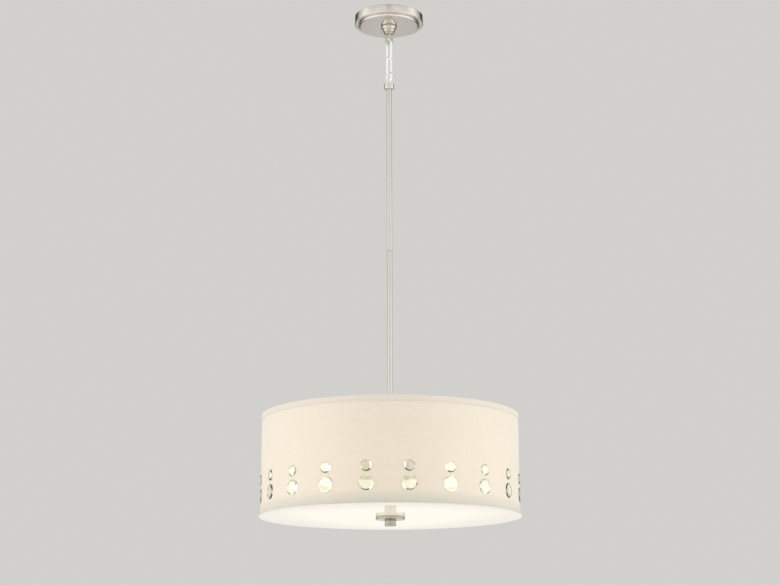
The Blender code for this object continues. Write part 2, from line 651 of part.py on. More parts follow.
def crystal_holes(large_steps, small_steps):
    """Cutters for all the crystals' holes. Their flats clear the round glass by the gap."""
    depth = FABRIC_THICK + GAP + LINER_THICK + OVERRUN
    rows = ((LARGE_RADIUS, LARGE_HEIGHT, large_steps), (SMALL_RADIUS, SMALL_HEIGHT, small_steps))
    holes = []
    for radius, height, steps in rows:
        corner = (radius + GAP) / cos(pi / steps)
        holes += [tube(corner, 0, OVERRUN, -depth, steps, place=place)
                  for place in crystal_places(height)]
    return together(holes)


def crystals(radius, height, steps):
    """One row of crystals, each with a low dome outside and a flat back inside the liner, on the
    clear strip that carries them."""
    back = FABRIC_THICK + GAP + LINER_THICK + CRYSTAL_BACK
    dome_shares = ((0.0, 1.0), (0.62, 0.72), (1.0, 0.12))
    outline = [(radius * across, CRYSTAL_PROUD * rise) for across, rise in dome_shares]
    outline += [(radius, -back), (0, -back)]
    row = together([turned(outline, steps, place=place) for place in crystal_places(height)])
    strip_top = SHADE_BOTTOM_Z + height + STRIP_WIDTH / 2
    strip = drum(LINER_INNER_RADIUS - GAP, STRIP_THICK, strip_top, strip_top - STRIP_WIDTH)
    return combined(strip, row)


def wire_ring(height):
    """A wire ring inside the liner, on the drum's own flats."""
    angles = [SHADE_TURN + FACET * step for step in range(SHADE_STEPS)]
    path = [Vector((WIRE_RING_RADIUS * cos(a), WIRE_RING_RADIUS * sin(a), height)) for a in angles]
    return swept(path, RING_WIRE / 2, RING_SIDES, UP)


def spider():
    """Wire ring, three arms and a centre ring, welded into one piece."""
    ring_z = SHADE_TOP_Z - RING_INSET - RING_WIRE / 2
    centre_z = SPIDER_SEAT_Z - SPIDER_THICK / 2
    bends = ((WIRE_RING_RADIUS, ring_z), (WIRE_RING_RADIUS - SPIDER_FLAT, ring_z),
             (SPIDER_CENTRE_RADIUS, centre_z), (SPIDER_CENTRE_RADIUS - RING_WIRE / 2, centre_z))
    frame = wire_ring(ring_z)
    for angle in LAMP_ANGLES:
        direction = Vector((cos(angle), sin(angle), 0))
        path = [direction * out + UP * height for out, height in bends]
        arm = swept(path, RING_WIRE / 2, ARM_SIDES, direction.cross(UP), closed=False)
        frame = combined(frame, arm)
    middle = tube(SPIDER_CENTRE_RADIUS, NIPPLE_HOLE_RADIUS, SPIDER_SEAT_Z,
                  SPIDER_SEAT_Z - SPIDER_THICK, SMALL_STEPS)
    return combined(frame, middle)


def build_shade(look, stem):
    """Linen and its backing with their holes, hems, rings, spider and crystals."""
    linen = combined(drum(SHADE_RADIUS, FABRIC_THICK, SHADE_TOP_Z, SHADE_BOTTOM_Z),
                     crystal_holes(LARGE_CRYSTAL_STEPS, SMALL_CRYSTAL_STEPS), "DIFFERENCE")
    add("shade_fabric", linen, look["linen"], stem)
    liner = combined(drum(LINER_RADIUS, LINER_THICK, SHADE_TOP_Z, SHADE_BOTTOM_Z),
                     crystal_holes(LINER_HOLE_STEPS, LINER_HOLE_STEPS), "DIFFERENCE")
    add("shade_liner", liner, look["styrene"], stem)
    hem_radius = SHADE_RADIUS + GAP + HEM_THICK
    top_hem = drum(hem_radius, HEM_THICK, SHADE_TOP_Z, SHADE_TOP_Z - TOP_HEM_HEIGHT)
    add("shade_top_hem", top_hem, look["linen"], stem)
    bottom_hem = drum(hem_radius, HEM_THICK, SHADE_BOTTOM_Z + BOTTOM_HEM_HEIGHT, SHADE_BOTTOM_Z)
    add("shade_bottom_hem", bottom_hem, look["linen"], stem)
    bottom_ring = wire_ring(SHADE_BOTTOM_Z + RING_INSET + RING_WIRE / 2)
    add("shade_bottom_ring", bottom_ring, look["steel"], stem)
    add("shade_spider", spider(), look["steel"], stem)
    large = crystals(LARGE_RADIUS, LARGE_HEIGHT, LARGE_CRYSTAL_STEPS)
    add("crystals_large", large, look["crystal"], stem)
    small = crystals(SMALL_RADIUS, SMALL_HEIGHT, SMALL_CRYSTAL_STEPS)
    add("crystals_small", small, look["crystal"], stem)


# Hub

def hub_can():
    """The can, open below, with holes for the nipple and the three bushes."""
    ceiling = HUB_TOP_Z - HUB_TOP_THICK
    outline = [(NIPPLE_HOLE_RADIUS, HUB_TOP_Z), (HUB_RADIUS, HUB_TOP_Z),
               (HUB_RADIUS, HUB_BOTTOM_Z), (HUB_INNER_RADIUS, HUB_BOTTOM_Z),
               (HUB_INNER_RADIUS, ceiling), (NIPPLE_HOLE_RADIUS, ceiling)]
    holes = [tube(NIPPLE_HOLE_RADIUS, 0, HUB_RADIUS + OVERRUN, HUB_INNER_RADIUS - 2 * OVERRUN,
                  SMALL_STEPS, place=outward(angle, LAMP_Z)) for angle in LAMP_ANGLES]
    return combined(turned(outline, BARREL_STEPS, HUB_TURN), together(holes), "DIFFERENCE")


def build_hub(look, stem):
    """Everything from the spider's lock nut down to the threaded rod."""
    add("shade_lock_nut", nipple_nut(LOCK_NUT_TOP_Z), look["steel"], stem)
    nipple = tube(NIPPLE_RADIUS, NIPPLE_BORE_RADIUS, ROD_BOTTOM_Z - GAP, CLUSTER_NIPPLE_BOTTOM_Z,
                  SMALL_STEPS)
    add("cluster_nipple", nipple, look["brass"], stem)
    spacer = tube(NIPPLE_HOLE_RADIUS + SPACER_WALL, NIPPLE_HOLE_RADIUS, SPACER_TOP_Z,
                  SPACER_BOTTOM_Z, SMALL_STEPS)
    add("spacer_tube", spacer, look["nickel"], stem)
    add("cluster_hub", hub_can(), look["nickel"], stem)
    add("hub_top_nut", nipple_nut(HUB_NUT_TOP_Z), look["steel"], stem)
    cover = tube(HUB_INNER_RADIUS - GAP, CENTRE_HOLE_RADIUS, HUB_BOTTOM_Z + COVER_THICK,
                 HUB_BOTTOM_Z, BARREL_STEPS, HUB_TURN)
    add("hub_cover", cover, look["nickel"], stem)
    rod = tube(CENTRE_ROD_RADIUS, 0, CENTRE_ROD_TOP_Z, CENTRE_ROD_BOTTOM_Z, SMALL_STEPS)
    add("centre_rod", rod, look["steel"], stem)
    nut = hexagon(CENTRE_NUT_ACROSS_FLATS, NUT_THICK, CENTRE_HOLE_RADIUS, CENTRE_NUT_BOTTOM_Z)
    add("centre_rod_nut", nut, look["steel"], stem)


# Wiring

def twin_lead(top, bottom, place):
    """A flat lead: two round cores joined side by side."""
    sides = [place @ Matrix.Translation((0, side * LEAD_SPACING / 2, 0)) for side in (-1, 1)]
    cores = [tube(LEAD_RADIUS, 0, top, bottom, TINY_STEPS, place=side) for side in sides]
    return combined(*cores)


def build_wiring(look, stem):
    """The lead down the rod, the block that it ends in, and a lead to each lampholder."""
    block_top = LAMP_Z + BLOCK_HEIGHT / 2
    supply = twin_lead(COLLAR_TOP_Z - GAP, block_top + GAP, Matrix())
    add("supply_lead", supply, look["plastic"], stem)
    splice = tube(BLOCK_RADIUS, 0, block_top, block_top - BLOCK_HEIGHT, BARREL_STEPS)
    add("splice_block", splice, look["ceramic"], stem)
    for number, angle in enumerate(LAMP_ANGLES, start=1):
        lead = twin_lead(SOCKET_FLOOR, BLOCK_RADIUS + GAP, outward(angle, LAMP_Z))
        add(f"socket_lead_{number}", lead, look["plastic"], stem)


# Lampholders and bulbs. Heights in these outlines run outward along the lamp.

def socket_shell():
    """The insulating body, with a stepped hole in its back for the bush and the leads."""
    bush_end = BUSH_END + GAP
    return [(NIPPLE_HOLE_RADIUS, SOCKET_BACK), (SOCKET_RADIUS - SOCKET_ROUND, SOCKET_BACK),
            (SOCKET_RADIUS, SOCKET_BACK + SOCKET_ROUND), (SOCKET_RADIUS, SOCKET_MOUTH),
            (CAVITY_RADIUS, SOCKET_MOUTH), (CAVITY_RADIUS, SOCKET_FLOOR),
            (LEAD_HOLE_RADIUS, SOCKET_FLOOR), (LEAD_HOLE_RADIUS, bush_end),
            (NIPPLE_HOLE_RADIUS, bush_end)]


def socket_liner():
    """The metal thread of the lampholder, as a plain tube in the body's cavity."""
    back = SOCKET_FLOOR + GAP
    front = SOCKET_MOUTH - LINER_SHORT
    outer = CAVITY_RADIUS - GAP
    inner = outer - LINER_SHEET
    return [(outer, back), (outer, front), (inner, front), (inner, back)]


def socket_bush():
    """The hollow bolt that holds a lampholder to the hub, its round head inside the can."""
    inside = BUSH_HEAD_FACE - BUSH_HEAD_THICK
    return [(NIPPLE_BORE_RADIUS, inside), (BUSH_HEAD_RADIUS, inside),
            (BUSH_HEAD_RADIUS, BUSH_HEAD_FACE), (NIPPLE_RADIUS, BUSH_HEAD_FACE),
            (NIPPLE_RADIUS, BUSH_END), (NIPPLE_BORE_RADIUS, BUSH_END)]


def contact():
    """The centre contact: a plate with a pip that meets the bulb's tip."""
    face = CONTACT_BACK + CONTACT_THICK
    pip_end = face + CONTACT_PIP_HEIGHT
    return [(0, CONTACT_BACK), (CONTACT_RADIUS, CONTACT_BACK), (CONTACT_RADIUS, face),
            (CONTACT_PIP_RADIUS, face), (CONTACT_PIP_RADIUS, pip_end), (0, pip_end)]


def bulb_cap():
    """The screw cap, a cup with a tapered tip."""
    shoulder = CAP_TIP + CAP_SHEET + CAP_TIP_RADIUS / 2
    inner = CAP_RADIUS - CAP_SHEET
    return [(0, CAP_TIP), (CAP_TIP_RADIUS, CAP_TIP), (CAP_TIP_RADIUS, CAP_TIP + CAP_SHEET),
            (CAP_RADIUS, shoulder), (CAP_RADIUS, CAP_MOUTH), (inner, CAP_MOUTH),
            (inner, shoulder + CAP_SHEET), (0, shoulder + CAP_SHEET)]


def bulb_glass():
    """The envelope: neck in the cap, a swelling and a round end. The neck is open."""
    neck = NECK_GLASS_RADIUS
    rise = BULB_CENTRE - CAP_MOUTH
    swell = BULB_RADIUS - neck
    side_shares = ((0.0, 0.0), (0.35, 0.22), (0.68, 0.70), (1.0, 1.0))
    outer = [(neck, GLASS_NECK)]
    outer += [(neck + swell * out, CAP_MOUTH + rise * along) for along, out in side_shares]
    for step in range(1, CROWN_STEPS):
        angle = pi / 2 * step / CROWN_STEPS
        outer.append((BULB_RADIUS * cos(angle), BULB_CENTRE + BULB_RADIUS * sin(angle)))
    outer.append((0, BULB_TIP))
    inside_share = 1 - GLASS_THICK / BULB_RADIUS
    inner = []
    for radius, along in reversed(outer):
        if along > BULB_CENTRE:
            inner.append((radius * inside_share, BULB_CENTRE + (along - BULB_CENTRE) * inside_share))
        else:
            inner.append((radius - GLASS_THICK, along))
    return outer + inner


def build_lamps(look, stem):
    """The three lampholders, and the bulb that turns in each."""
    for number, angle in enumerate(LAMP_ANGLES, start=1):
        place = outward(angle, LAMP_Z)
        bulb = carrier(f"bulb_{number}_axis", place @ Vector((0, 0, CAP_TIP)), stem)
        pieces = (("socket_shell", socket_shell(), SMALL_STEPS, "ceramic", stem),
                  ("socket_liner", socket_liner(), SMALL_STEPS, "brass", stem),
                  ("socket_bush", socket_bush(), SMALL_STEPS, "brass", stem),
                  ("socket_contact", contact(), TINY_STEPS, "brass", stem),
                  ("bulb_base", bulb_cap(), SMALL_STEPS, "steel", bulb),
                  ("bulb_glass", bulb_glass(), SMALL_STEPS, "frosted", bulb))
        for name, outline, steps, material, on in pieces:
            add(f"{name}_{number}", turned(outline, steps, place=place), look[material], on)


# Diffuser and finial

def build_diffuser(look, stem):
    """The acrylic disc and the finial's washer come down together, and the knob turns."""
    guide = carrier("diffuser_guide", (0, 0, DIFFUSER_TOP_Z), stem)
    edge = SHADE_RADIUS + DIFFUSER_OVERHANG
    bottom = DIFFUSER_TOP_Z - DIFFUSER_THICK
    bow = [(CENTRE_HOLE_RADIUS, DIFFUSER_RISE)]
    bow += [(edge * share, DIFFUSER_RISE * (1 - share ** 2)) for share in BOW_SHARES]
    disc = [(radius, DIFFUSER_TOP_Z + rise) for radius, rise in bow]
    disc += [(edge, DIFFUSER_TOP_Z), (edge, bottom + DIFFUSER_ROUND), (edge - DIFFUSER_ROUND, bottom)]
    disc += [(radius, bottom + rise) for radius, rise in reversed(bow)]
    add("diffuser", turned(disc, SHADE_STEPS, SHADE_TURN), look["acrylic"], guide)
    washer = [(CENTRE_HOLE_RADIUS, FINIAL_TOP_Z)]
    washer += rounded(FINIAL_RADIUS, FINIAL_TOP_Z, FINIAL_ROUND, -1, -1)
    washer += reversed(rounded(FINIAL_RADIUS, FINIAL_TOP_Z - FINIAL_THICK, FINIAL_ROUND, -1, 1))
    washer.append((CENTRE_HOLE_RADIUS, FINIAL_TOP_Z - FINIAL_THICK))
    add("finial_disc", turned(washer, FINIAL_STEPS), look["nickel"], guide)
    thread = carrier("finial_thread", (0, 0, KNOB_TOP_Z), guide)
    knob = [(0, KNOB_BOTTOM_Z + KNOB_FLOOR), (CENTRE_HOLE_RADIUS, KNOB_BOTTOM_Z + KNOB_FLOOR),
            (CENTRE_HOLE_RADIUS, KNOB_TOP_Z)]
    knob += rounded(KNOB_RADIUS, KNOB_TOP_Z, KNOB_ROUND, -1, -1)
    knob += reversed(rounded(KNOB_RADIUS, KNOB_BOTTOM_Z, KNOB_ROUND, -1, 1))
    knob.append((0, KNOB_BOTTOM_Z))
    add("finial_knob", turned(knob, BARREL_STEPS), look["nickel"], thread)


def main():
    """Build the whole light in an empty scene."""
    for item in list(bpy.data.objects):
        bpy.data.objects.remove(item)
    look = make_finishes()
    build_ceiling(look)
    stem = build_chain(look)
    build_rod(look, stem)
    build_shade(look, stem)
    build_hub(look, stem)
    build_wiring(look, stem)
    build_lamps(look, stem)
    build_diffuser(look, stem)


main()
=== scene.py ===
# %% [markdown]
# # A drum pendant light
# The light hangs from a nickel canopy on two chain links and a thin rod. Under the rod is a linen drum
# with two rows of clear glass discs, three bulbs on a hub, and a glossy white diffuser that a small finial
# holds up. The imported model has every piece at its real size, but with few faces and plain colours. This
# lesson keeps its sizes and gives each piece a finer shape and a finish. It starts by loading the model
# and reading its box.

# %% Load the frame
import json
from math import atan2, cos, pi, radians, sin, tau

import bmesh
import bpy
from mathutils import Matrix, Vector

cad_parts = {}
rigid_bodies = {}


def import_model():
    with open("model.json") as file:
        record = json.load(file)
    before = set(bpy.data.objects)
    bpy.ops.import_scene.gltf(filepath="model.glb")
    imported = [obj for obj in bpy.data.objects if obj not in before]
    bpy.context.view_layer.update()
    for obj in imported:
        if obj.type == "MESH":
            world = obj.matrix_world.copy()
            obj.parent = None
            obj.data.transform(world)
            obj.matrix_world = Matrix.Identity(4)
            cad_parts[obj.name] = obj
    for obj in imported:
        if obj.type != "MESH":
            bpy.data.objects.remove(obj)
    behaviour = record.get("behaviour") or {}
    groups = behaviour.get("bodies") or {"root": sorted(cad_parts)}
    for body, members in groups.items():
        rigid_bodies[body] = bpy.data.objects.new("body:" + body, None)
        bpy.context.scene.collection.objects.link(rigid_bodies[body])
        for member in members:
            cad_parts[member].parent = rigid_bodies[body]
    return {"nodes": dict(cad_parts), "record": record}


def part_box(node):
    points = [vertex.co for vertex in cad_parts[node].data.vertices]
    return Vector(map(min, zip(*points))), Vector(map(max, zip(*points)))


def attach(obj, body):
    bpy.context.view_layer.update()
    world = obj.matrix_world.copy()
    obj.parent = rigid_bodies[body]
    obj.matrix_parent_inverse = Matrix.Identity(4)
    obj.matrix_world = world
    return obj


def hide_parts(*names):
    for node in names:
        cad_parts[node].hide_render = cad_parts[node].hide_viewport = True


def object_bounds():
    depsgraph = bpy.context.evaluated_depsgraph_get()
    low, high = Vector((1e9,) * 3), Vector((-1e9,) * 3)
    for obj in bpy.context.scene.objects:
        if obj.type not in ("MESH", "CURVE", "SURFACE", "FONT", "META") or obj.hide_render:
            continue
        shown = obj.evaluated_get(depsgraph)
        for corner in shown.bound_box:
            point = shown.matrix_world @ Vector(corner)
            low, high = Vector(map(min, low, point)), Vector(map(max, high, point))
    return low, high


for leftover in list(bpy.data.objects):
    bpy.data.objects.remove(leftover)
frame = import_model()
cad_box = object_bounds()
record = frame["record"]
BODY_OF = {node: body for body, nodes in record["behaviour"]["bodies"].items() for node in nodes}
print("frame box:", [[round(value, 4) for value in corner] for corner in cad_box])

# %% [markdown]
# The camera comes first, because everything else is judged through it. It stands in front of the light,
# lower than the shade, and looks up a little, so it sees the underside of the diffuser. A long lens keeps
# the drum's sides upright. The focal length is in pixels of the picture here, because that is how it was
# measured.

# %% Camera
PICTURE_WIDTH = 780
FOCAL_PIXELS = 1631
CAMERA_AWAY = 2.8925
CAMERA_HEIGHT = -1.2372
CAMERA_PITCH = radians(13.6)
CAMERA_ROLL = radians(-0.17)    # the picture was taken with the camera a little out of level
AXIS_OFF_CENTRE = -0.0005       # the light's axis lies this far to the right of the picture's middle

lens = bpy.data.cameras.new("camera")
lens.sensor_width = 36
lens.lens = FOCAL_PIXELS / PICTURE_WIDTH * lens.sensor_width
camera = bpy.data.objects.new("camera", lens)
camera.location = (-AXIS_OFF_CENTRE, -CAMERA_AWAY, CAMERA_HEIGHT)
aim = Matrix.Rotation(pi / 2 + CAMERA_PITCH, 4, "X") @ Matrix.Rotation(CAMERA_ROLL, 4, "Z")
camera.rotation_euler = aim.to_euler()
bpy.context.scene.collection.objects.link(camera)
bpy.context.scene.camera = camera
bpy.context.scene.view_settings.view_transform = "Standard"
print("camera lens:", round(lens.lens, 2), "mm")

# %% [markdown]
# Every finish below is made of shader nodes, so a few small helpers save a lot of typing. `node` adds a
# node and fills its inputs with numbers or links, and `feed` links sockets into a node that is already
# there. The others are the nodes that come back in every finish: a sum, a blend of two colours, a soft
# step, a noise and a bump. A group is a small tree of its own with named inputs and outputs, which
# `placed` puts in a material.

# %% Node helpers
def node(tree, kind, inputs=None, **settings):
    """Add a shader node to a tree. inputs maps socket names or numbers to values or to other sockets."""
    made = tree.nodes.new("ShaderNode" + kind)
    for name, value in settings.items():
        setattr(made, name, value)
    for name, value in (inputs or {}).items():
        if isinstance(value, bpy.types.NodeSocket):
            tree.links.new(value, made.inputs[name])
        else:
            made.inputs[name].default_value = value
    return made


def sums(tree, operation, first, second=0.0, third=0.0):
    """One Math node, as its output socket."""
    return node(tree, "Math", {0: first, 1: second, 2: third}, operation=operation).outputs[0]


def blended(tree, share, first, second):
    """A colour between two colours, as a socket."""
    return node(tree, "Mix", {0: share, 6: first, 7: second}, data_type="RGBA").outputs[2]


def ramped(tree, value, start, end):
    """A soft step, from 0 where the value is at the start to 1 at the end."""
    return node(tree, "MapRange", {"Value": value, "From Min": start, "From Max": end},
                interpolation_type="SMOOTHSTEP").outputs[0]


def noise(tree, vector, scale, detail):
    """A noise texture, as its value socket."""
    return node(tree, "TexNoise", {"Vector": vector, "Scale": scale, "Detail": detail}).outputs[0]


def relief(tree, height, depth, strength):
    """A Bump node, ready to link. depth is how far the height really rises, in metres."""
    return node(tree, "Bump", {"Strength": strength, "Distance": depth, "Height": height})


def feed(target, **sockets):
    """Link sockets into a node's inputs. Base_Color stands for Base Color."""
    for name, socket in sockets.items():
        target.id_data.links.new(socket, target.inputs[name.replace("_", " ")])


def new_group(name, numbers, results):
    """A node group that takes a vector and some numbers: its tree, what comes in, and its output node."""
    group = bpy.data.node_groups.new(name, "ShaderNodeTree")
    group.interface.new_socket("Vector", in_out="INPUT", socket_type="NodeSocketVector")
    for label, value in numbers.items():
        socket = group.interface.new_socket(label, in_out="INPUT", socket_type="NodeSocketFloat")
        socket.default_value = value
    for label in results:
        group.interface.new_socket(label, in_out="OUTPUT", socket_type="NodeSocketFloat")
    return group, group.nodes.new("NodeGroupInput").outputs, group.nodes.new("NodeGroupOutput")


def placed(tree, group, inputs):
    """A group in a material, with its own values."""
    return node(tree, "Group", inputs, node_tree=group)


def new_material(name, **constants):
    """A material with a Principled shader, its constant sockets set, and the object's coordinates."""
    material = bpy.data.materials.new(name)
    material.use_nodes = True
    tree = material.node_tree
    shader = tree.nodes["Principled BSDF"]
    for socket, value in constants.items():
        shader.inputs[socket.replace("_", " ")].default_value = value
    where = node(tree, "TexCoord").outputs["Object"]
    return material, tree, shader, where


# %% [markdown]
# Polished and brushed metal never has one even gloss. Fine lines run round a piece that was turned on a
# lathe, and along a piece that was drawn as a tube or wire. One group serves both: a noise that is
# stretched until it becomes lines. It gives a value for the lines and a slow cloud for the uneven touch of
# the buffing wheel.

# %% Group: polishing lines
CLOUDS_PER_METRE = 45.0
ALONG_THE_DRAW = 12.0           # lines on a drawn tube are this few to the metre along it


def make_polishing_lines():
    """Fine lines round a turned piece or along a drawn one, and the slow clouds of the buffing wheel."""
    group, given, out = new_group("polishing_lines", {"Round The Axis": 1.0, "Lines Per Metre": 2500.0},
                                  ("Lines", "Cloud"))
    x, y, z = node(group, "SeparateXYZ", {0: given["Vector"]}).outputs
    squares = [sums(group, "MULTIPLY", side, side) for side in (x, y)]
    across = sums(group, "SQRT", sums(group, "ADD", *squares))
    dense = given["Lines Per Metre"]
    round_it = node(group, "CombineXYZ", {0: sums(group, "MULTIPLY", across, dense),
                                                    1: sums(group, "MULTIPLY", z, dense), 2: 0.0})
    along_it = node(group, "CombineXYZ", {0: sums(group, "MULTIPLY", x, dense),
                                                    1: sums(group, "MULTIPLY", y, dense),
                                                    2: sums(group, "MULTIPLY", z, ALONG_THE_DRAW)})
    way = node(group, "Mix", {0: given["Round The Axis"], 4: along_it.outputs[0],
                                        5: round_it.outputs[0]}, data_type="VECTOR")
    feed(out, Lines=noise(group, way.outputs[1], 1.0, 2.0),
         Cloud=noise(group, given["Vector"], CLOUDS_PER_METRE, 3.0))
    return group


POLISHING_LINES = make_polishing_lines()
print("group:", POLISHING_LINES.name)

# %% [markdown]
# Metals differ only in a few values: their colour, how sharp their reflections are, and which way the
# lines run. So one function makes them all. The lines go into the roughness and into a very shallow bump,
# where a real surface has them, and the slow cloud goes a little into the colour. The light has five
# nickels: satin on the canopy and the rod, bright on the nut and the collar, and a darker one on the
# finial. The other two are painted light: a darker copy on the top loop paints the shade inside its eye,
# and a paler, half-matt copy on the links and the rod's loop paints their bright highlights.

# %% Metals
DULL = 0.90                     # the buffing wheel leaves patches this much darker


def make_metal(name, colour, roughness, round_axis=1.0, per_metre=2500.0, scatter=0.10, depth=0.00001,
               metallic=1.0):
    """A metal with polishing lines. scatter is how much the lines change the roughness."""
    material, tree, shader, where = new_material(name, Metallic=metallic)
    lines, cloud = placed(tree, POLISHING_LINES, {"Vector": where, "Round The Axis": round_axis,
                                                  "Lines Per Metre": per_metre}).outputs
    dull = [value * DULL for value in colour]
    uneven = sums(tree, "MULTIPLY_ADD", lines, scatter, roughness - scatter / 2)
    feed(shader, Base_Color=blended(tree, cloud, (*dull, 1), (*colour, 1)),
         Roughness=sums(tree, "MULTIPLY_ADD", cloud, scatter / 2, uneven),
         Normal=relief(tree, lines, depth, 0.3).outputs[0])
    return material


def make_wire_nickel(name, colour, roughness, depth=0.000003, metallic=1.0):
    """Nickel plate on wire and drawn tube: fine lines along the piece, and an even gloss."""
    return make_metal(name, colour, roughness, round_axis=0.0, scatter=0.03, depth=depth, metallic=metallic)


NICKEL_COLOUR = (0.79, 0.745, 0.69)
NICKEL_TURNED = make_metal("satin_nickel_turned", NICKEL_COLOUR, 0.17, scatter=0.06, depth=0.000004)
NICKEL_DRAWN = make_wire_nickel("satin_nickel_drawn", NICKEL_COLOUR, 0.20, depth=0.000002)
NICKEL_BRIGHT = make_wire_nickel("bright_nickel", (0.81, 0.78, 0.71), 0.10)
# painted shade: a darker copy of the nickel, for the shade inside the top loop's eye
NICKEL_SHADED = make_wire_nickel("shaded_nickel", (0.60, 0.58, 0.49), 0.14)
# painted highlight: a paler, half-matt copy of the nickel, for the bright highlights on the links and the
# rod's loop
NICKEL_HIGHLIT = make_wire_nickel("highlit_nickel", (0.97, 0.96, 0.94), 0.12, metallic=0.50)
ZINC = make_metal("zinc_plate", (0.58, 0.59, 0.60), 0.34, round_axis=0.0, per_metre=900.0, scatter=0.16)
FINIAL_METAL = make_metal("finial_nickel", (0.49, 0.475, 0.395), 0.12, scatter=0.04, depth=0.000003)
BRASS = make_metal("brass", (0.74, 0.54, 0.26), 0.26)
TIN = make_metal("tinned_cap", (0.70, 0.70, 0.69), 0.28)
GREEN_PLATE = make_metal("green_plate", (0.05, 0.30, 0.10), 0.36, per_metre=1500.0)
print("metals:", len(bpy.data.materials))

# %% [markdown]
# The light is switched on, and its glow is what makes the shade look alive. Light that really passes
# through cloth and acrylic is slow to render and is lost when a model is exported. So the glow is worked
# out from the distance to each bulb and goes into the emission colour. The group gives one value, near 1
# beside a bulb and near 0 far away.

# %% Group: warmth of the bulbs
LAMPS = (1, 2, 3)


def middle_of(name):
    """The middle of a node's box."""
    low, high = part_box(name)
    return (low + high) / 2


BULB_PLACES = [middle_of(f"bulb_glass_{lamp}") for lamp in LAMPS]


def make_warmth(name, places):
    """How near a point is to any of these places, from 0 far away to 1 beside one."""
    group, given, out = new_group(name, {"Reach": 0.13}, ["Warmth"])
    reach = sums(group, "POWER", given["Reach"], 4.0)
    total = 0.0
    for place in places:
        away = node(group, "VectorMath", {0: given["Vector"], 1: tuple(place)},
                    operation="DISTANCE").outputs["Value"]
        far = sums(group, "POWER", away, 4.0)
        total = sums(group, "ADD", sums(group, "DIVIDE", reach, sums(group, "ADD", reach, far)), total)
    feed(out, Warmth=sums(group, "MINIMUM", total, 1.0))
    return group


GLOW_TURN = radians(14)         # on the cloth, the glow of the two front bulbs lies nearer to the middle


def glow_place(place):
    """Where a bulb's glow is centred: the front ones turned toward the front, the back one as it is."""
    turn = 0 if place.y > 0 else GLOW_TURN if place.x < 0 else -GLOW_TURN
    return Matrix.Rotation(turn, 4, "Z") @ place


GLOW_PLACES = [glow_place(place) for place in BULB_PLACES]
WARMTH = make_warmth("bulb_warmth", BULB_PLACES)
CLOTH_WARMTH = make_warmth("cloth_warmth", GLOW_PLACES)
print("bulbs at:", [tuple(round(value, 3) for value in place) for place in BULB_PLACES])

# %% [markdown]
# Linen is a plain weave of uneven threads. The threads are thinner than a pixel in the picture, but close
# views and the exported model show them. Two sine waves cross for the weave, one round the drum and one up
# it. The waves round the drum come in a whole number, so there is no step where the angle starts again.
# Stretched noise adds the slubs, the thicker stretches of thread that make linen look like linen.

# %% Group: linen threads
SLUB_STRETCHES = ((60.0, 60.0, 1100.0), (800.0, 800.0, 70.0))       # long round the drum, and long up it


def make_linen_threads():
    """A plain weave: how high its threads stand, and where they are thicker."""
    group, given, out = new_group("linen_threads", {"Threads Round": 2400.0, "Thread Pitch": 0.0006},
                                  ("Height", "Slubs"))
    x, y, z = node(group, "SeparateXYZ", {0: given["Vector"]}).outputs
    angle = sums(group, "ARCTAN2", y, x)
    around = sums(group, "MULTIPLY", angle, given["Threads Round"])
    upward = sums(group, "MULTIPLY", sums(group, "DIVIDE", z, given["Thread Pitch"]), tau)
    warp, weft = sums(group, "SINE", around), sums(group, "SINE", upward)
    turn = sums(group, "MULTIPLY", sums(group, "SINE", sums(group, "MULTIPLY", around, 0.5)),
                sums(group, "SINE", sums(group, "MULTIPLY", upward, 0.5)))
    over = sums(group, "MULTIPLY_ADD", turn, 0.5, 0.5)
    under = sums(group, "SUBTRACT", 1.0, over)
    slubs = []
    for stretch in SLUB_STRETCHES:
        spread = node(group, "VectorMath", {0: given["Vector"], 1: stretch},
                      operation="MULTIPLY")
        slubs.append(noise(group, spread.outputs[0], 1.0, 3.0))
    feed(out, Height=sums(group, "MAXIMUM", sums(group, "MULTIPLY", warp, over),
                          sums(group, "MULTIPLY", weft, under)),
         Slubs=sums(group, "MULTIPLY", sums(group, "ADD", *slubs), 0.5))
    return group


LINEN_THREADS = make_linen_threads()
print("group:", LINEN_THREADS.name)

# %% [markdown]
# The drum and its hems are the same cloth and share one material. Where the cloth is folded double it lets
# less light through, so its glow falls off toward both rims: quickly at the top, and slowly at the bottom,
# where the wire ring and the diffuser's edge are also in the way.

# %% Linen
shade_low, shade_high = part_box("shade_fabric")
TOP_HEM, BOTTOM_HEM = 0.010, 0.014
LINEN_BASE = (0.60, 0.575, 0.53)
GLOW_NEAR = (0.34, 0.225, 0.09)         # the light that comes through beside a bulb, and far from one
GLOW_FAR = (0.18, 0.13, 0.065)
CLOTH_REACH = 0.115
# each fold: where it starts, how softly, and the light that still comes through
FOLDS = ((shade_high.z - TOP_HEM, 0.0012, (0.15, 0.11, 0.06)),
         (shade_low.z + BOTTOM_HEM, -0.010, (0.085, 0.065, 0.015)))
THREAD_RISE, SLUB_RISE = 0.00015, 0.0004
DARKEST_THREAD, THREAD_RANGE = 0.88, 0.24


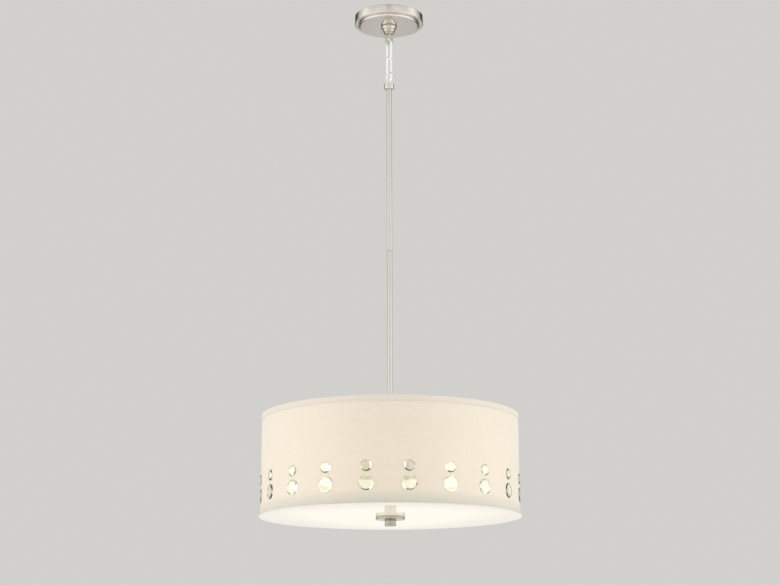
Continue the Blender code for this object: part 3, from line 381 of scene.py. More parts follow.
def make_linen(name):
    """Linen lit from behind."""
    material, tree, shader, where = new_material(
        name, Roughness=0.9, Sheen_Weight=0.45, Sheen_Roughness=0.4, Emission_Strength=1.0,
        Specular_IOR_Level=0.15)
    height, slubs = placed(tree, LINEN_THREADS, {"Vector": where}).outputs
    shade = sums(tree, "MULTIPLY_ADD", slubs, THREAD_RANGE, DARKEST_THREAD)
    grey = node(tree, "CombineColor", {0: shade, 1: shade, 2: shade}).outputs[0]

    def threaded(colour):
        """A colour as the uneven threads show it."""
        return node(tree, "Mix", {0: 1.0, 6: colour, 7: grey}, data_type="RGBA",
                    blend_type="MULTIPLY").outputs[2]

    warmth = placed(tree, CLOTH_WARMTH, {"Vector": where, "Reach": CLOTH_REACH}).outputs[0]
    lit = blended(tree, warmth, (*GLOW_FAR, 1), (*GLOW_NEAR, 1))
    level = node(tree, "SeparateXYZ", {0: where}).outputs["Z"]
    for fold, soft, left in FOLDS:
        lit = blended(tree, ramped(tree, level, fold - soft, fold + soft), lit, (*left, 1))
    weave = relief(tree, slubs, SLUB_RISE, 0.25)
    feed(weave, Normal=relief(tree, height, THREAD_RISE, 0.25).outputs[0])
    feed(shader, Base_Color=threaded((*LINEN_BASE, 1)), Emission_Color=threaded(lit),
         Normal=weave.outputs[0])
    return material


LINEN = make_linen("linen")
print("cloth:", LINEN.name)

# %% [markdown]
# White plastics, glazed ceramic and acrylic share a look: nearly even, with faint clouding and fine dust
# in the gloss. A small group makes that clouding, and each material mixes it in by its own amount.

# %% Group: faint clouding, and the white materials
SPECKS_PER_CLOUD = 30.0


def make_clouding():
    """Slow clouds of about this size in metres, and the fine specks of dust among them."""
    group, given, out = new_group("faint_clouding", {"Size": 0.02}, ("Cloud", "Speck"))
    vector = given["Vector"]
    scale = sums(group, "DIVIDE", 1.0, given["Size"])
    feed(out, Cloud=noise(group, vector, scale, 4.0),
         Speck=noise(group, vector, sums(group, "MULTIPLY", scale, SPECKS_PER_CLOUD), 2.0))
    return group


CLOUDING = make_clouding()


def make_white(name, pale, deep, roughness, near=None, far=None, reach=0.13, depth=0.00004, uneven=0.06):
    """A white or pale material. near and far are its glow beside a bulb and away from one."""
    material, tree, shader, where = new_material(name)
    cloud, speck = placed(tree, CLOUDING, {"Vector": where}).outputs
    feed(shader, Base_Color=blended(tree, cloud, (*deep, 1), (*pale, 1)),
         Roughness=sums(tree, "MULTIPLY_ADD", speck, uneven, roughness - uneven / 2),
         Normal=relief(tree, speck, depth, 0.2).outputs[0])
    if near:
        shader.inputs["Emission Strength"].default_value = 1.0
        warmth = placed(tree, WARMTH, {"Vector": where, "Reach": reach}).outputs[0]
        feed(shader, Emission_Color=blended(tree, warmth, (*far, 1), (*near, 1)))
    return material


BACKING = make_white("white_backing", (0.84, 0.83, 0.79), (0.78, 0.77, 0.73), 0.5,
                     near=(0.30, 0.27, 0.20), far=(0.16, 0.15, 0.10))
CERAMIC = make_white("glazed_ceramic", (0.62, 0.60, 0.52), (0.56, 0.54, 0.47), 0.22,
                     near=(0.34, 0.30, 0.20), far=(0.02, 0.02, 0.01), reach=0.055)
ACRYLIC = make_white("glossy_acrylic", (0.57, 0.55, 0.52), (0.55, 0.53, 0.50), 0.02,
                     near=(0.37, 0.325, 0.235), far=(0.19, 0.175, 0.15), depth=0.0000002, uneven=0.02)
FROSTED = make_white("frosted_bulb", (0.78, 0.75, 0.62), (0.74, 0.71, 0.58), 0.34,
                     near=(1.08, 0.97, 0.60), far=(0.8, 0.68, 0.44), reach=0.055)
LEAD_SKIN = make_white("gold_insulation", (0.60, 0.48, 0.26), (0.50, 0.38, 0.18), 0.25)
print("pale materials:", BACKING.name, CERAMIC.name, ACRYLIC.name, FROSTED.name, LEAD_SKIN.name)

# %% [markdown]
# The discs in the shade are clear pressed glass. Glass is all refraction, so its colour stays almost white
# with a hint of green, and only a few fine scratches and the slight waves of pressed glass go into
# roughness and bump.

# %% Glass
def make_glass():
    """Clear pressed glass."""
    material, tree, shader, where = new_material("clear_glass", Transmission_Weight=1.0, IOR=1.5)
    cloud, speck = placed(tree, CLOUDING, {"Vector": where, "Size": 0.008}).outputs
    feed(shader, Base_Color=blended(tree, cloud, (0.93, 0.97, 0.94, 1), (0.98, 0.99, 0.98, 1)),
         Roughness=sums(tree, "MULTIPLY", speck, 0.03), Normal=relief(tree, cloud, 0.0001, 0.15).outputs[0])
    return material


GLASS = make_glass()
print("glass:", GLASS.name)

# %% [markdown]
# Most pieces here were turned on a lathe, bent from wire, or cut with a thread. All three come down to the
# same mesh: rings of points with faces between them. `skin` makes those faces. `lathe` makes rings from an
# outline, `wire` from a path, and `thread` from a radius that winds up the axis. `turned` first eases the
# outline's corners, because no real edge is sharp, and a tiny rounding is what catches the light.

# %% Shape helpers
def skin(rings, wrap=False):
    """Faces between rings of points. wrap joins the last ring to the first, or else both ends get caps."""
    mesh = bmesh.new()
    loops = [[mesh.verts.new(point) for point in ring] for ring in rings]
    pairs = list(zip(loops, loops[1:]))
    if wrap:
        pairs.append((loops[-1], loops[0]))
    else:
        mesh.faces.new(loops[0])
        mesh.faces.new(loops[-1])
    for near, far in pairs:
        for index in range(len(near)):
            mesh.faces.new((near[index - 1], near[index], far[index], far[index - 1]))
    return mesh


CORNER_STEPS = 4


def softened(corners):
    """An outline with its corners eased. Each corner is (radius, height, size of the rounding)."""
    points = []
    for index, (radius, height, size) in enumerate(corners):
        here = Vector((radius, height))
        if not size:
            points.append(here)
            continue
        before = Vector(corners[index - 1][:2]) - here
        after = Vector(corners[(index + 1) % len(corners)][:2]) - here
        cut = min(size, before.length * 0.48, after.length * 0.48)
        start, end = here + before.normalized() * cut, here + after.normalized() * cut
        for step in range(CORNER_STEPS + 1):
            share = step / CORNER_STEPS
            points.append(start.lerp(here, share).lerp(here.lerp(end, share), share))
    return points


def circle(radius, height, steps):
    """Points round the Z axis."""
    return [(radius * cos(tau * s / steps), radius * sin(tau * s / steps), height) for s in range(steps)]


def lathe(outline, steps, place=None):
    """Turn an outline of (radius, height) points about Z. Points on the axis become caps."""
    rings = [circle(radius, height, steps) for radius, height in outline if radius]
    mesh = skin(rings, wrap=all(radius for radius, height in outline))
    mesh.transform(place or Matrix())
    return mesh


def turned(*corners, steps=96):
    """Turn an outline with its corners eased."""
    return lathe(softened(corners), steps)


def collar(outer, bore, low, high, eases, steps=96):
    """Turn a plain ring. eases are its roundings: outside above and below, then inside below and above."""
    corners = ((outer, high), (outer, low), (bore, low), (bore, high))
    return turned(*((*corner, ease) for corner, ease in zip(corners, eases)), steps=steps)


def plug(radius, start, end, steps, place=None):
    """A plain cylinder from one height to another, for cutting a hole."""
    return lathe([(0, start), (radius, start), (radius, end), (0, end)], steps, place)


def wire(path, radii, normal, sides, closed=False):
    """A round wire along a path in the plane of this normal. radii is one radius, or one for each point."""
    count = len(path)
    if not hasattr(radii, "__len__"):
        radii = [radii] * count
    rings = []
    for index, (point, radius) in enumerate(zip(path, radii)):
        behind = path[index - 1] if closed or index else point
        ahead = path[(index + 1) % count] if closed or index < count - 1 else point
        outside = (ahead - behind).normalized().cross(normal)
        angles = [tau * side / sides for side in range(sides)]
        rings.append([point + radius * (normal * cos(a) + outside * sin(a)) for a in angles])
    return skin(rings, wrap=closed)


def thread(radius, depth, pitch, low, high, bore=0.0, steps=32, rows_per_turn=6):
    """A rod or tube with a real screw thread, its ends chamfered."""
    rows = max(2, round((high - low) / pitch * rows_per_turn))
    rings = []
    for row in range(rows + 1):
        height = low + (high - low) * row / rows
        end_cut = max(0.0, depth - min(height - low, high - height))
        ring = []
        for step in range(steps):
            phase = (height / pitch - step / steps) % 1
            reach = radius - max(depth * abs(2 * phase - 1), end_cut)
            ring.append((reach * cos(tau * step / steps), reach * sin(tau * step / steps), height))
        rings.append(ring)
    if not bore:
        return skin(rings)
    rings += [circle(bore, height, steps) for height in (high, low)]
    return skin(rings, wrap=True)


# %% [markdown]
# Some pieces need one shape cut out of another, such as a screw's slot or the holes in the cloth.
# Blender's Boolean modifier does that, and applying it at once leaves a plain mesh. `dress` then puts a
# finished mesh in the scene: it rides on the body of the node that it stands for, gets the finish it is
# given, and hides the node.

# %% Cutting, joining and placing
def as_data(mesh):
    """A bmesh as mesh data, its faces turned outward."""
    data = bpy.data.meshes.new("shape")
    bmesh.ops.recalc_face_normals(mesh, faces=mesh.faces)
    mesh.to_mesh(data)
    mesh.free()
    return data


def as_object(mesh):
    """A bmesh as an object in the scene."""
    item = bpy.data.objects.new("shape", as_data(mesh))
    bpy.context.scene.collection.objects.link(item)
    return item


SLIVER = 0.000001               # edges shorter than this are left over from a cut, and are closed up


def combined(first, second, operation="UNION"):
    """Two shapes joined, cut or crossed, as one new shape."""
    body, tool = as_object(first), as_object(second)
    boolean = body.modifiers.new("combine", "BOOLEAN")
    boolean.operation = operation
    boolean.object = tool
    result = bmesh.new()
    result.from_mesh(body.evaluated_get(bpy.context.evaluated_depsgraph_get()).to_mesh())
    bmesh.ops.dissolve_degenerate(result, dist=SLIVER, edges=result.edges)
    for item in (body, tool):
        data = item.data
        bpy.data.objects.remove(item)
        bpy.data.meshes.remove(data)
    return result


def together(meshes):
    """Several shapes in one mesh, each still closed on its own."""
    whole = bmesh.new()
    for mesh in meshes:
        data = as_data(mesh)
        whole.from_mesh(data)
        bpy.data.meshes.remove(data)
    return whole


def block(size, centre):
    """A box with this size, centred on a point."""
    mesh = bmesh.new()
    bmesh.ops.create_cube(mesh, size=1)
    mesh.transform(Matrix.Translation(centre) @ Matrix.Diagonal((*size, 1)))
    return mesh


def dress(name, mesh, material, stands_for, sharp=radians(32), hide=True):
    """Put a piece in the scene in the place of a node. With hide off, the node's own mesh stays too."""
    item = as_object(mesh)
    item.name = item.data.name = name
    item.data.shade_smooth()
    item.data.set_sharp_from_angle(angle=sharp)
    item.data.materials.append(material)
    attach(item, BODY_OF[stands_for])
    if hide:
        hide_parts(stands_for)
    return item


def finish_node(name, material):
    """Give a node that stays in view its finish."""
    item = frame["nodes"][name]
    item.data.materials.clear()
    item.data.materials.append(material)


def size_of(name):
    """A round node's radius, measured across Y, and its lower and upper end."""
    low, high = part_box(name)
    return (high.y - low.y) / 2, low.z, high.z


# %% [markdown]
# Behind the canopy a slotted steel strap is screwed to the ceiling box. It is hidden from below, but a
# view from above shows it. The strap's mesh is right as it is packed, so it only gets a finish. Its screws
# get a domed head with a cross slot and a real thread, because a plain peg would look like a toy.

# %% Ceiling fixing
SCREW_DEPTH = 0.0003
SCREW_PITCH = 0.0008
SCREW_HEAD = 0.0022
CROSS_WIDTH = 0.0011
CROSS_LENGTH = 1.3              # times the head's radius
# each screw: its piece, its node, its shank's radius and its finish
SCREWS = (("ceiling_screw_1", "box_screw_1", 0.0021, ZINC),
          ("ceiling_screw_2", "box_screw_2", 0.0021, ZINC),
          ("earth_screw", "ground_screw", 0.0017, GREEN_PLATE))


def machine_screw(node_name, shank_radius):
    """A screw that points up, with its cross-slotted head below."""
    low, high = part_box(node_name)
    head = (high.x - low.x) / 2
    seat = low.z + SCREW_HEAD
    dome = softened([(head, seat, 0.0002), (head * 0.98, seat - SCREW_HEAD * 0.45, 0.0006),
                     (head * 0.62, low.z, 0.0008)])
    cap = lathe([(0, seat), *dome, (0, low.z)], 32)
    cross = head * CROSS_LENGTH
    for size in ((cross, CROSS_WIDTH, SCREW_HEAD), (CROSS_WIDTH, cross, SCREW_HEAD)):
        cap = combined(cap, block(size, (0, 0, low.z)), "DIFFERENCE")
    whole = combined(cap, thread(shank_radius, SCREW_DEPTH, SCREW_PITCH, seat - 0.0001, high.z))
    whole.transform(Matrix.Translation(((low.x + high.x) / 2, 0, 0)))
    return whole


finish_node("ceiling_crossbar", ZINC)
for piece, stands_for, shank_radius, finish in SCREWS:
    dress(piece, machine_screw(stands_for, shank_radius), finish, stands_for)
print("ceiling fixing: strap,", len(SCREWS), "screws")

# %% [markdown]
# Lamp pipe is a hollow rod threaded from end to end. Here it joins the strap to the chain's top loop, and
# a second length carries the shade and the hub. A nut is a hexagon with its corners chamfered on a lathe,
# so it is made that way: a hexagon crossed with a turned disc that has sloping edges.

# %% Lamp pipe and nuts
PIPE_DEPTH = 0.0004
PIPE_PITCH = 0.00094
PIPE_BORE = 0.0033
PIPE_HOLE = 0.0052              # clears the pipe
ROD_HOLE = 0.0033               # clears the thin threaded rod
HEX_SIDES = 6
NUT_HOLES = {"nipple_nut": PIPE_HOLE, "shade_lock_nut": PIPE_HOLE, "hub_top_nut": PIPE_HOLE,
             "centre_rod_nut": ROD_HOLE}


def hex_nut(node_name, bore):
    """A chamfered hexagon nut in the place of a node."""
    low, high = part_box(node_name)
    corner = (high.x - low.x) / 2
    flat = corner * cos(pi / HEX_SIDES)
    slope = (corner - flat) * 0.6
    prism = skin([circle(corner, height, HEX_SIDES) for height in (low.z, high.z)])
    disc = lathe([(0, low.z), (flat * 0.98, low.z), (corner + slope, low.z + slope),
                  (corner + slope, high.z - slope), (flat * 0.98, high.z), (0, high.z)], 72)
    hole = plug(bore, low.z - 0.001, high.z + 0.002, 48)
    return combined(combined(prism, disc, "INTERSECT"), hole, "DIFFERENCE")


for pipe in ("threaded_nipple", "cluster_nipple"):
    radius, low, high = size_of(pipe)
    threaded = thread(radius, PIPE_DEPTH, PIPE_PITCH, low, high, bore=PIPE_BORE)
    dress(f"{pipe}_pipe", threaded, BRASS, pipe)
for nut, bore in NUT_HOLES.items():
    dress(f"{nut}_hex", hex_nut(nut, bore), ZINC, nut)
print("lamp pipe: 2 lengths,", len(NUT_HOLES), "nuts")

# %% [markdown]
# The canopy is a pressed dish. Its wall curves into a flat shelf, a fine groove runs round the shelf, and
# a quarter round leads down to the face. The groove reads as a thin dark line in the picture, so it is cut
# in the outline and not painted. The face is satin and was turned, so its polishing lines run round.

# %% Canopy
SHEET = 0.0012
CANOPY_HOLE = 0.0100
SHELF_Z = -0.0144
SHELF_ROUND = 0.0014
STEP_RADIUS = 0.0566
FACE_RADIUS = 0.0526
GROOVE_DEPTH = 0.0016
GROOVE_WIDTH = 0.0022

low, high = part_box("canopy")
rim_radius, rim_z, face_z = high.x, high.z, low.z
groove_z = SHELF_Z + GROOVE_DEPTH
canopy_corners = [
    (rim_radius, rim_z, 0.0003), (rim_radius, SHELF_Z, SHELF_ROUND),
    (STEP_RADIUS + GROOVE_WIDTH, SHELF_Z, 0.0003), (STEP_RADIUS + GROOVE_WIDTH * 0.7, groove_z, 0.0003),
    (STEP_RADIUS, groove_z, 0.0003),
    (STEP_RADIUS, face_z, STEP_RADIUS - FACE_RADIUS), (CANOPY_HOLE, face_z, 0.0003),
    (CANOPY_HOLE, face_z + SHEET, 0), (FACE_RADIUS - SHEET / 2, face_z + SHEET, 0.001),
    (STEP_RADIUS - SHEET, groove_z + SHEET, 0.001), (rim_radius - SHEET, groove_z + SHEET, 0.0022),
    (rim_radius - SHEET, rim_z, 0)]
dress("canopy_dish", turned(*canopy_corners, steps=144), NICKEL_TURNED, "canopy")
print("canopy: radius", round(rim_radius, 4))

# %% [markdown]
# A ring nut screws up round the loop's barrel and holds the canopy to the ceiling. It has a wide grip, a
# bead under it and a fine groove between them. The barrel carries a real thread, which shows when the
# canopy is let down.

# %% Ring nut
RING_BORE = 0.0093
GRIP_HEIGHT = 0.0056
NECK_WALL = 0.0021

low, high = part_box("canopy_ring_nut")
grip_radius = high.x
neck_radius = RING_BORE + NECK_WALL
waist_radius = neck_radius - NECK_WALL / 3
grip_low = high.z - GRIP_HEIGHT
ring_corners = [
    (RING_BORE, high.z, 0.0002), (grip_radius, high.z, 0.0012), (grip_radius, grip_low, 0.0016),
    (waist_radius, grip_low, 0.0003), (waist_radius, grip_low - NECK_WALL / 3, 0.0003),
    (neck_radius, grip_low - NECK_WALL / 2, 0.0008), (neck_radius, low.z, 0.0018),
    (RING_BORE, low.z, 0.0002)]
dress("ring_nut", turned(*ring_corners, steps=72), NICKEL_BRIGHT, "canopy_ring_nut")
print("ring nut: grip", round(grip_radius, 4))

# %% [markdown]
# The chain is two wire links between two loops. Each is bent from round wire, so it is a wire swept along
# two half circles joined by straight sides. A link is closed by a butt joint, and that shows as a fine
# seam at the middle of one side.

# %% Loops and links
LOOP_WIRE = 0.0046
LINK_WIRE = 0.0044
LINK_INSIDE, LOOP_INSIDE = 0.0088, 0.0084
TOP_EYE_TWIST, ROD_EYE_TWIST = radians(35), radians(130)
LINK_TWISTS = (radians(125), radians(55))
ARC_STEPS = 24
SIDE_STEPS = 12
SEAM_DEPTH = 0.00035
BARREL_RADIUS = 0.0090
BARREL_DEPTH, BARREL_PITCH = 0.0005, 0.0010
BARREL_BORE_DEPTH = 0.0113
SHOULDER_RADIUS = 0.0088
SHOULDER_HEIGHT = 0.0033
TOP_EYE_HEIGHT = 0.0210
EYE_HALF = LOOP_INSIDE / 2 + LOOP_WIRE
ROD_EYE_HEIGHT = 0.0227
ROD_SHOULDER_RADIUS = 0.0075
ROD_SHOULDER_HEIGHT = 0.0029
ROD_RADIUS = 0.00475
NECK_RADIUS = 0.0034


def long_ring(top, bottom, half_width, wire_size, twist, seam=False):
    """A wire ring that stands upright, with or without the seam of its joint half way up one side."""
    radius = half_width - wire_size / 2
    upper, lower = top - wire_size / 2 - radius, bottom + wire_size / 2 + radius
    middle = (upper + lower) / 2
    angles = [pi * step / ARC_STEPS for step in range(ARC_STEPS + 1)]
    bend = [(radius * cos(angle), radius * sin(angle)) for angle in angles]
    side = [upper + (lower - upper) * s / SIDE_STEPS for s in range(1, SIDE_STEPS)]
    points = [(across, upper + rise) for across, rise in bend] + [(-radius, height) for height in side]
    points += [(-across, lower - rise) for across, rise in bend]
    points += [(radius, height) for height in side[::-1]]
    if seam:
        points = [point for point in points if point[0] < radius or abs(point[1] - middle) > SEAM_DEPTH]
        points += [(radius, middle + SEAM_DEPTH * share) for share in (-1, -0.4, 0.4, 1)]
        points.sort(key=lambda point: atan2(point[1] - middle, point[0]) % tau)
    outward = Vector((cos(twist), sin(twist), 0))
    path = [outward * across + Vector((0, 0, height)) for across, height in points]
    radii = []
    for across, height in points:
        in_seam = seam and across == radius and abs(height - middle) < SEAM_DEPTH / 2
        radii.append(wire_size / 2 - (SEAM_DEPTH if in_seam else 0))
    return wire(path, radii, Vector((-sin(twist), cos(twist), 0)), sides=24, closed=True)


for link, twist in enumerate(LINK_TWISTS, start=1):
    low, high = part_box(f"chain_link_{link}")
    link_ring = long_ring(high.z, low.z, LINK_INSIDE / 2 + LINK_WIRE, LINK_WIRE, twist, seam=True)
    dress(f"link_{link}", link_ring, NICKEL_HIGHLIT, f"chain_link_{link}")

low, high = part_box("canopy_loop")
eye_top = low.z + TOP_EYE_HEIGHT
neck_top = eye_top - LOOP_WIRE / 2
barrel_low = eye_top + SHOULDER_HEIGHT
seat = barrel_low + 0.0004
eye = long_ring(eye_top, low.z, EYE_HALF, LOOP_WIRE, TOP_EYE_TWIST)
shoulder = turned((0, seat, 0), (SHOULDER_RADIUS, seat, 0), (SHOULDER_RADIUS, eye_top, 0.0010),
                  (NECK_RADIUS, eye_top - 0.0003, 0.0004), (NECK_RADIUS, neck_top, 0), (0, neck_top, 0),
                  steps=64)
barrel = thread(BARREL_RADIUS, BARREL_DEPTH, BARREL_PITCH, barrel_low, high.z, steps=64)
bore = plug(PIPE_HOLE, high.z - BARREL_BORE_DEPTH, high.z + 0.001, 48)
top_loop = combined(combined(combined(eye, shoulder), barrel), bore, "DIFFERENCE")
dress("top_loop", top_loop, NICKEL_SHADED, "canopy_loop")

low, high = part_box("stem_loop")
eye_low = high.z - ROD_EYE_HEIGHT
neck_top = eye_low + LOOP_WIRE / 2
shoulder_low = eye_low - ROD_SHOULDER_HEIGHT
eye = long_ring(high.z, eye_low, EYE_HALF, LOOP_WIRE, ROD_EYE_TWIST)
root = turned((0, neck_top, 0), (NECK_RADIUS, neck_top, 0), (NECK_RADIUS, eye_low + 0.0003, 0.0004),
              (ROD_SHOULDER_RADIUS, eye_low, 0.0010), (ROD_SHOULDER_RADIUS, shoulder_low, 0.0004),
              (ROD_RADIUS, shoulder_low, 0), (ROD_RADIUS, low.z, 0.0003), (0, low.z, 0), steps=64)
dress("rod_loop", combined(eye, root), NICKEL_HIGHLIT, "stem_loop")
print("chain: 2 loops, 2 links")

# %% [markdown]
# Under the chain a collar grips the rod. The rod is drawn tube, so its lines run along it. Each length
# gets eased ends. A coupling joins the rod to the lamp pipe just above the shade's spider.

# %% Collar and rod
ROD_BORE = 0.00375
# each tube: its node, its finish, its bore and the rounding of its ends
TUBES = (("stem_collar", NICKEL_BRIGHT, PIPE_HOLE, 0.0010), ("rod_upper", NICKEL_DRAWN, ROD_BORE, 0.0002),
         ("rod_lower", NICKEL_DRAWN, ROD_BORE, 0.0002), ("rod_coupling", NICKEL_DRAWN, PIPE_HOLE, 0.0007),
         ("spacer_tube", NICKEL_DRAWN, PIPE_HOLE, 0.0003))

for name, finish, bore, ease in TUBES:
    outer, low, high = size_of(name)
    if name not in ("stem_collar", "rod_coupling"):
        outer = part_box(name)[1].x
    tube = collar(outer, bore, low, high, (ease, ease, 0.0001, 0.0001), steps=64)
    dress(f"{name}_tube", tube, finish, name)
finish_node("rod_joiner", BRASS)
print("rod: collar, 2 lengths, coupling, spacer")

# %% [markdown]
# The shade is linen glued to a white backing. Both have a round hole behind each glass disc. The cloth is
# a drum of 240 flats, which reads as round, with 40 cylinders cut out of it. A hem is a folded strip: down
# the outside, over the rim, and round the wire ring inside, so it is made from the path of its fold and a
# thickness.

# %% Where the discs go
PAIRS = 20
FIRST_PAIR = radians(8)
LARGE_RADIUS, LARGE_HEIGHT = 0.0130, 0.0325
SMALL_RADIUS, SMALL_HEIGHT = 0.0095, 0.0605
FABRIC_THICK, BACKING_THICK, LAYER_GAP = 0.0008, 0.0006, 0.0003
SHADE_RADIUS = 0.2286
SHADE_FLATS = 240
DISC_ROWS = (("crystals_large", LARGE_RADIUS, LARGE_HEIGHT), ("crystals_small", SMALL_RADIUS, SMALL_HEIGHT))
CUT_OUT, CUT_IN = 0.003, -0.006         # how far a hole's cutter reaches out of the drum and into it


def disc_places(height):
    """The frame of each disc of a row, its Z axis pointing out of the shade."""
    level, outward = (Matrix.Translation((0, 0, z)) for z in (shade_low.z + height, SHADE_RADIUS))
    for pair in range(PAIRS):
        angle = FIRST_PAIR - pi / 2 + tau * pair / PAIRS
        yield level @ Matrix.Rotation(angle, 4, "Z") @ Matrix.Rotation(pi / 2, 4, "Y") @ outward


def drum(outer, thick, top, bottom):
    """A thin band of the drum."""
    inner = outer - thick
    return lathe([(outer, top), (outer, bottom), (inner, bottom), (inner, top)], SHADE_FLATS)


def disc_cutters():
    """A cylinder for the hole of each disc."""
    return together(plug(radius + LAYER_GAP, CUT_OUT, CUT_IN, 40, place)
                    for row, radius, height in DISC_ROWS for place in disc_places(height))


# %% Cloth and backing
EDGE_IN = 0.0009                # the cloth and its backing stop this far inside the hem's fold
top_z, bottom_z = shade_high.z - EDGE_IN, shade_low.z + EDGE_IN
cloth = combined(drum(SHADE_RADIUS, FABRIC_THICK, top_z, bottom_z), disc_cutters(), "DIFFERENCE")
shade_cloth = dress("shade_cloth", cloth, LINEN, "shade_fabric")
backing_radius = SHADE_RADIUS - FABRIC_THICK - LAYER_GAP
backing = combined(drum(backing_radius, BACKING_THICK, top_z, bottom_z), disc_cutters(), "DIFFERENCE")
dress("shade_backing", backing, BACKING, "shade_liner")
print("shade:", round(2 * SHADE_RADIUS, 4), "across,", round(shade_high.z - shade_low.z, 4), "high")

# %% Hems
HEM_THICK = 0.0005
WIRE_RADIUS = 0.0016
RING_INSET = 0.0020
FOLD = 0.0012                   # how much of the strip its bend over the rim takes up
WRAP_STEPS = 8                  # round the wire ring


def ribbon(path, thick):
    """The outline of a strip seen from its edge: the path pushed out to both sides."""
    ahead = [(path[min(i + 1, len(path) - 1)] - path[max(i - 1, 0)]).normalized() for i in range(len(path))]
    sides = [Vector((-way.y, way.x)) * thick / 2 for way in ahead]
    return [p + s for p, s in zip(path, sides)] + [p - s for p, s in reversed(list(zip(path, sides)))]


def folded_hem(rim_z, inward, height, ring_radius):
    """A hem over a rim. inward is -1 at the top rim and 1 at the bottom rim."""
    outside = SHADE_RADIUS + LAYER_GAP + HEM_THICK / 2
    ring_z = rim_z + inward * (RING_INSET + WIRE_RADIUS)
    wrap = WIRE_RADIUS + HEM_THICK
    edge = rim_z + inward * HEM_THICK / 2
    path = [(outside, rim_z + inward * height), (outside, rim_z + inward * height * 0.5),
            (outside, edge + inward * FOLD), (outside - FOLD / 3, edge + inward * FOLD / 4),
            (outside - FOLD, edge), (ring_radius + FOLD / 3, edge)]
    for step in range(WRAP_STEPS + 1):
        angle = pi / 2 + pi * step / WRAP_STEPS
        path.append((ring_radius + wrap * cos(angle), ring_z - inward * wrap * sin(angle)))
    return lathe(ribbon([Vector(point) for point in path], HEM_THICK), SHADE_FLATS)


ring_radius = size_of("shade_bottom_ring")[0] - WIRE_RADIUS
fold = folded_hem(shade_high.z, -1, TOP_HEM, ring_radius)
top_hem = dress("hem_top", fold, LINEN, "shade_top_hem")
fold = folded_hem(shade_low.z, 1, BOTTOM_HEM, ring_radius)
bottom_hem = dress("hem_bottom", fold, LINEN, "shade_bottom_hem")
print("hems: top", TOP_HEM, "high, bottom", BOTTOM_HEM)

# %% [markdown]
# The cloth is one long strip, so its ends meet somewhere. Makers lay one end over the other at the back.
# The seam is a narrow doubled strip that stands a thread's thickness proud.

# %% Seam, and the cloth's real size
SEAM_WIDTH = 0.012
SEAM_THICK = 0.0004
SEAM_SUNK = 0.0001
SEAM_STEPS = 8
seam_half = SEAM_WIDTH / 2 / SHADE_RADIUS
seam_rings = []
for level in (shade_low.z + BOTTOM_HEM + LAYER_GAP, shade_high.z - TOP_HEM - LAYER_GAP):
    angles = [pi / 2 - seam_half + 2 * seam_half * step / SEAM_STEPS for step in range(SEAM_STEPS + 1)]
    corners = [(SHADE_RADIUS + SEAM_THICK, angle) for angle in angles]
    corners += [(SHADE_RADIUS - SEAM_SUNK, angle) for angle in angles[::-1]]
    seam_rings.append([(radius * cos(angle), radius * sin(angle), level) for radius, angle in corners])
seam = dress("shade_seam", skin(seam_rings), LINEN, "shade_fabric", hide=False)
print("cloth: flat length", round(tau * SHADE_RADIUS, 3))

# %% [markdown]
# Inside, a wire ring stiffens each rim. The top ring is part of the spider: three arms run in from it,
# bend down and meet at a washer, which the lamp pipe passes. All of it is zinc-plated steel.

# %% Rings and spider
ARM_RADIUS = 0.0015             # a little thinner than the ring, so that the two skins cross cleanly
SPIDER_THICK = 0.0020
SPIDER_CENTRE = 0.0125
SPIDER_FLAT = 0.024             # the arms run level for this far before they bend down
ARM_BEND = 0.008
ARM_LEVEL, ARM_END = 0.006, -0.003      # an arm is level again from here to here, from the washer's edge
RING_STEPS, BEND_STEPS = 180, 6
UP = Vector((0, 0, 1))


def ring_wire(height):
    """The wire ring of a rim."""
    path = [Vector(point) for point in circle(ring_radius, height, RING_STEPS)]
    return wire(path, WIRE_RADIUS, UP, sides=12, closed=True)


def eased_path(points, size):
    """A path through these points, with each bend rounded."""
    path = [points[0]]
    shares = [step / BEND_STEPS for step in range(BEND_STEPS + 1)]
    for before, here, after in zip(points, points[1:], points[2:]):
        start = here + (before - here).normalized() * size
        end = here + (after - here).normalized() * size
        path += [start.lerp(here, share).lerp(here.lerp(end, share), share) for share in shares]
    return path + [points[-1]]


ring_z = shade_high.z - RING_INSET - WIRE_RADIUS
washer_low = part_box("shade_spider")[0].z
washer_high = washer_low + SPIDER_THICK
washer_z = (washer_low + washer_high) / 2
spider = ring_wire(ring_z)
for place in BULB_PLACES:
    out = Vector((place.x, place.y, 0)).normalized()
    bends = [out * reach + UP * height for reach, height in
             ((ring_radius, ring_z), (ring_radius - SPIDER_FLAT, ring_z),
              (SPIDER_CENTRE + ARM_LEVEL, washer_z), (SPIDER_CENTRE + ARM_END, washer_z))]
    spider = combined(spider, wire(eased_path(bends, ARM_BEND), ARM_RADIUS, out.cross(UP), sides=14))
spider_washer = collar(SPIDER_CENTRE, PIPE_HOLE, washer_low, washer_high, (0.0003, 0.0003, 0.0001, 0.0001),
                       steps=64)
dress("spider", combined(spider, spider_washer), ZINC, "shade_spider")
dress("bottom_ring", ring_wire(middle_of("shade_bottom_ring").z), ZINC, "shade_bottom_ring")
print("spider: ring, 3 arms, washer")

# %% [markdown]
# Each glass disc is a thick lens with a flat back, a polished slope round its edge and a low dome in
# front. The slope is what draws the pale ring and the dark crescent that the eye sees, because it bends
# light from another part of the room than the dome does.

# %% Glass discs
DISC_PROUD = 0.0021
SLOPE_WIDTH = 0.0023
DOME_RISE = 0.0003
DOME_STEPS = 8
DISC_BACK = FABRIC_THICK + LAYER_GAP + BACKING_THICK + 0.0035
BACK_EASE = 0.0006


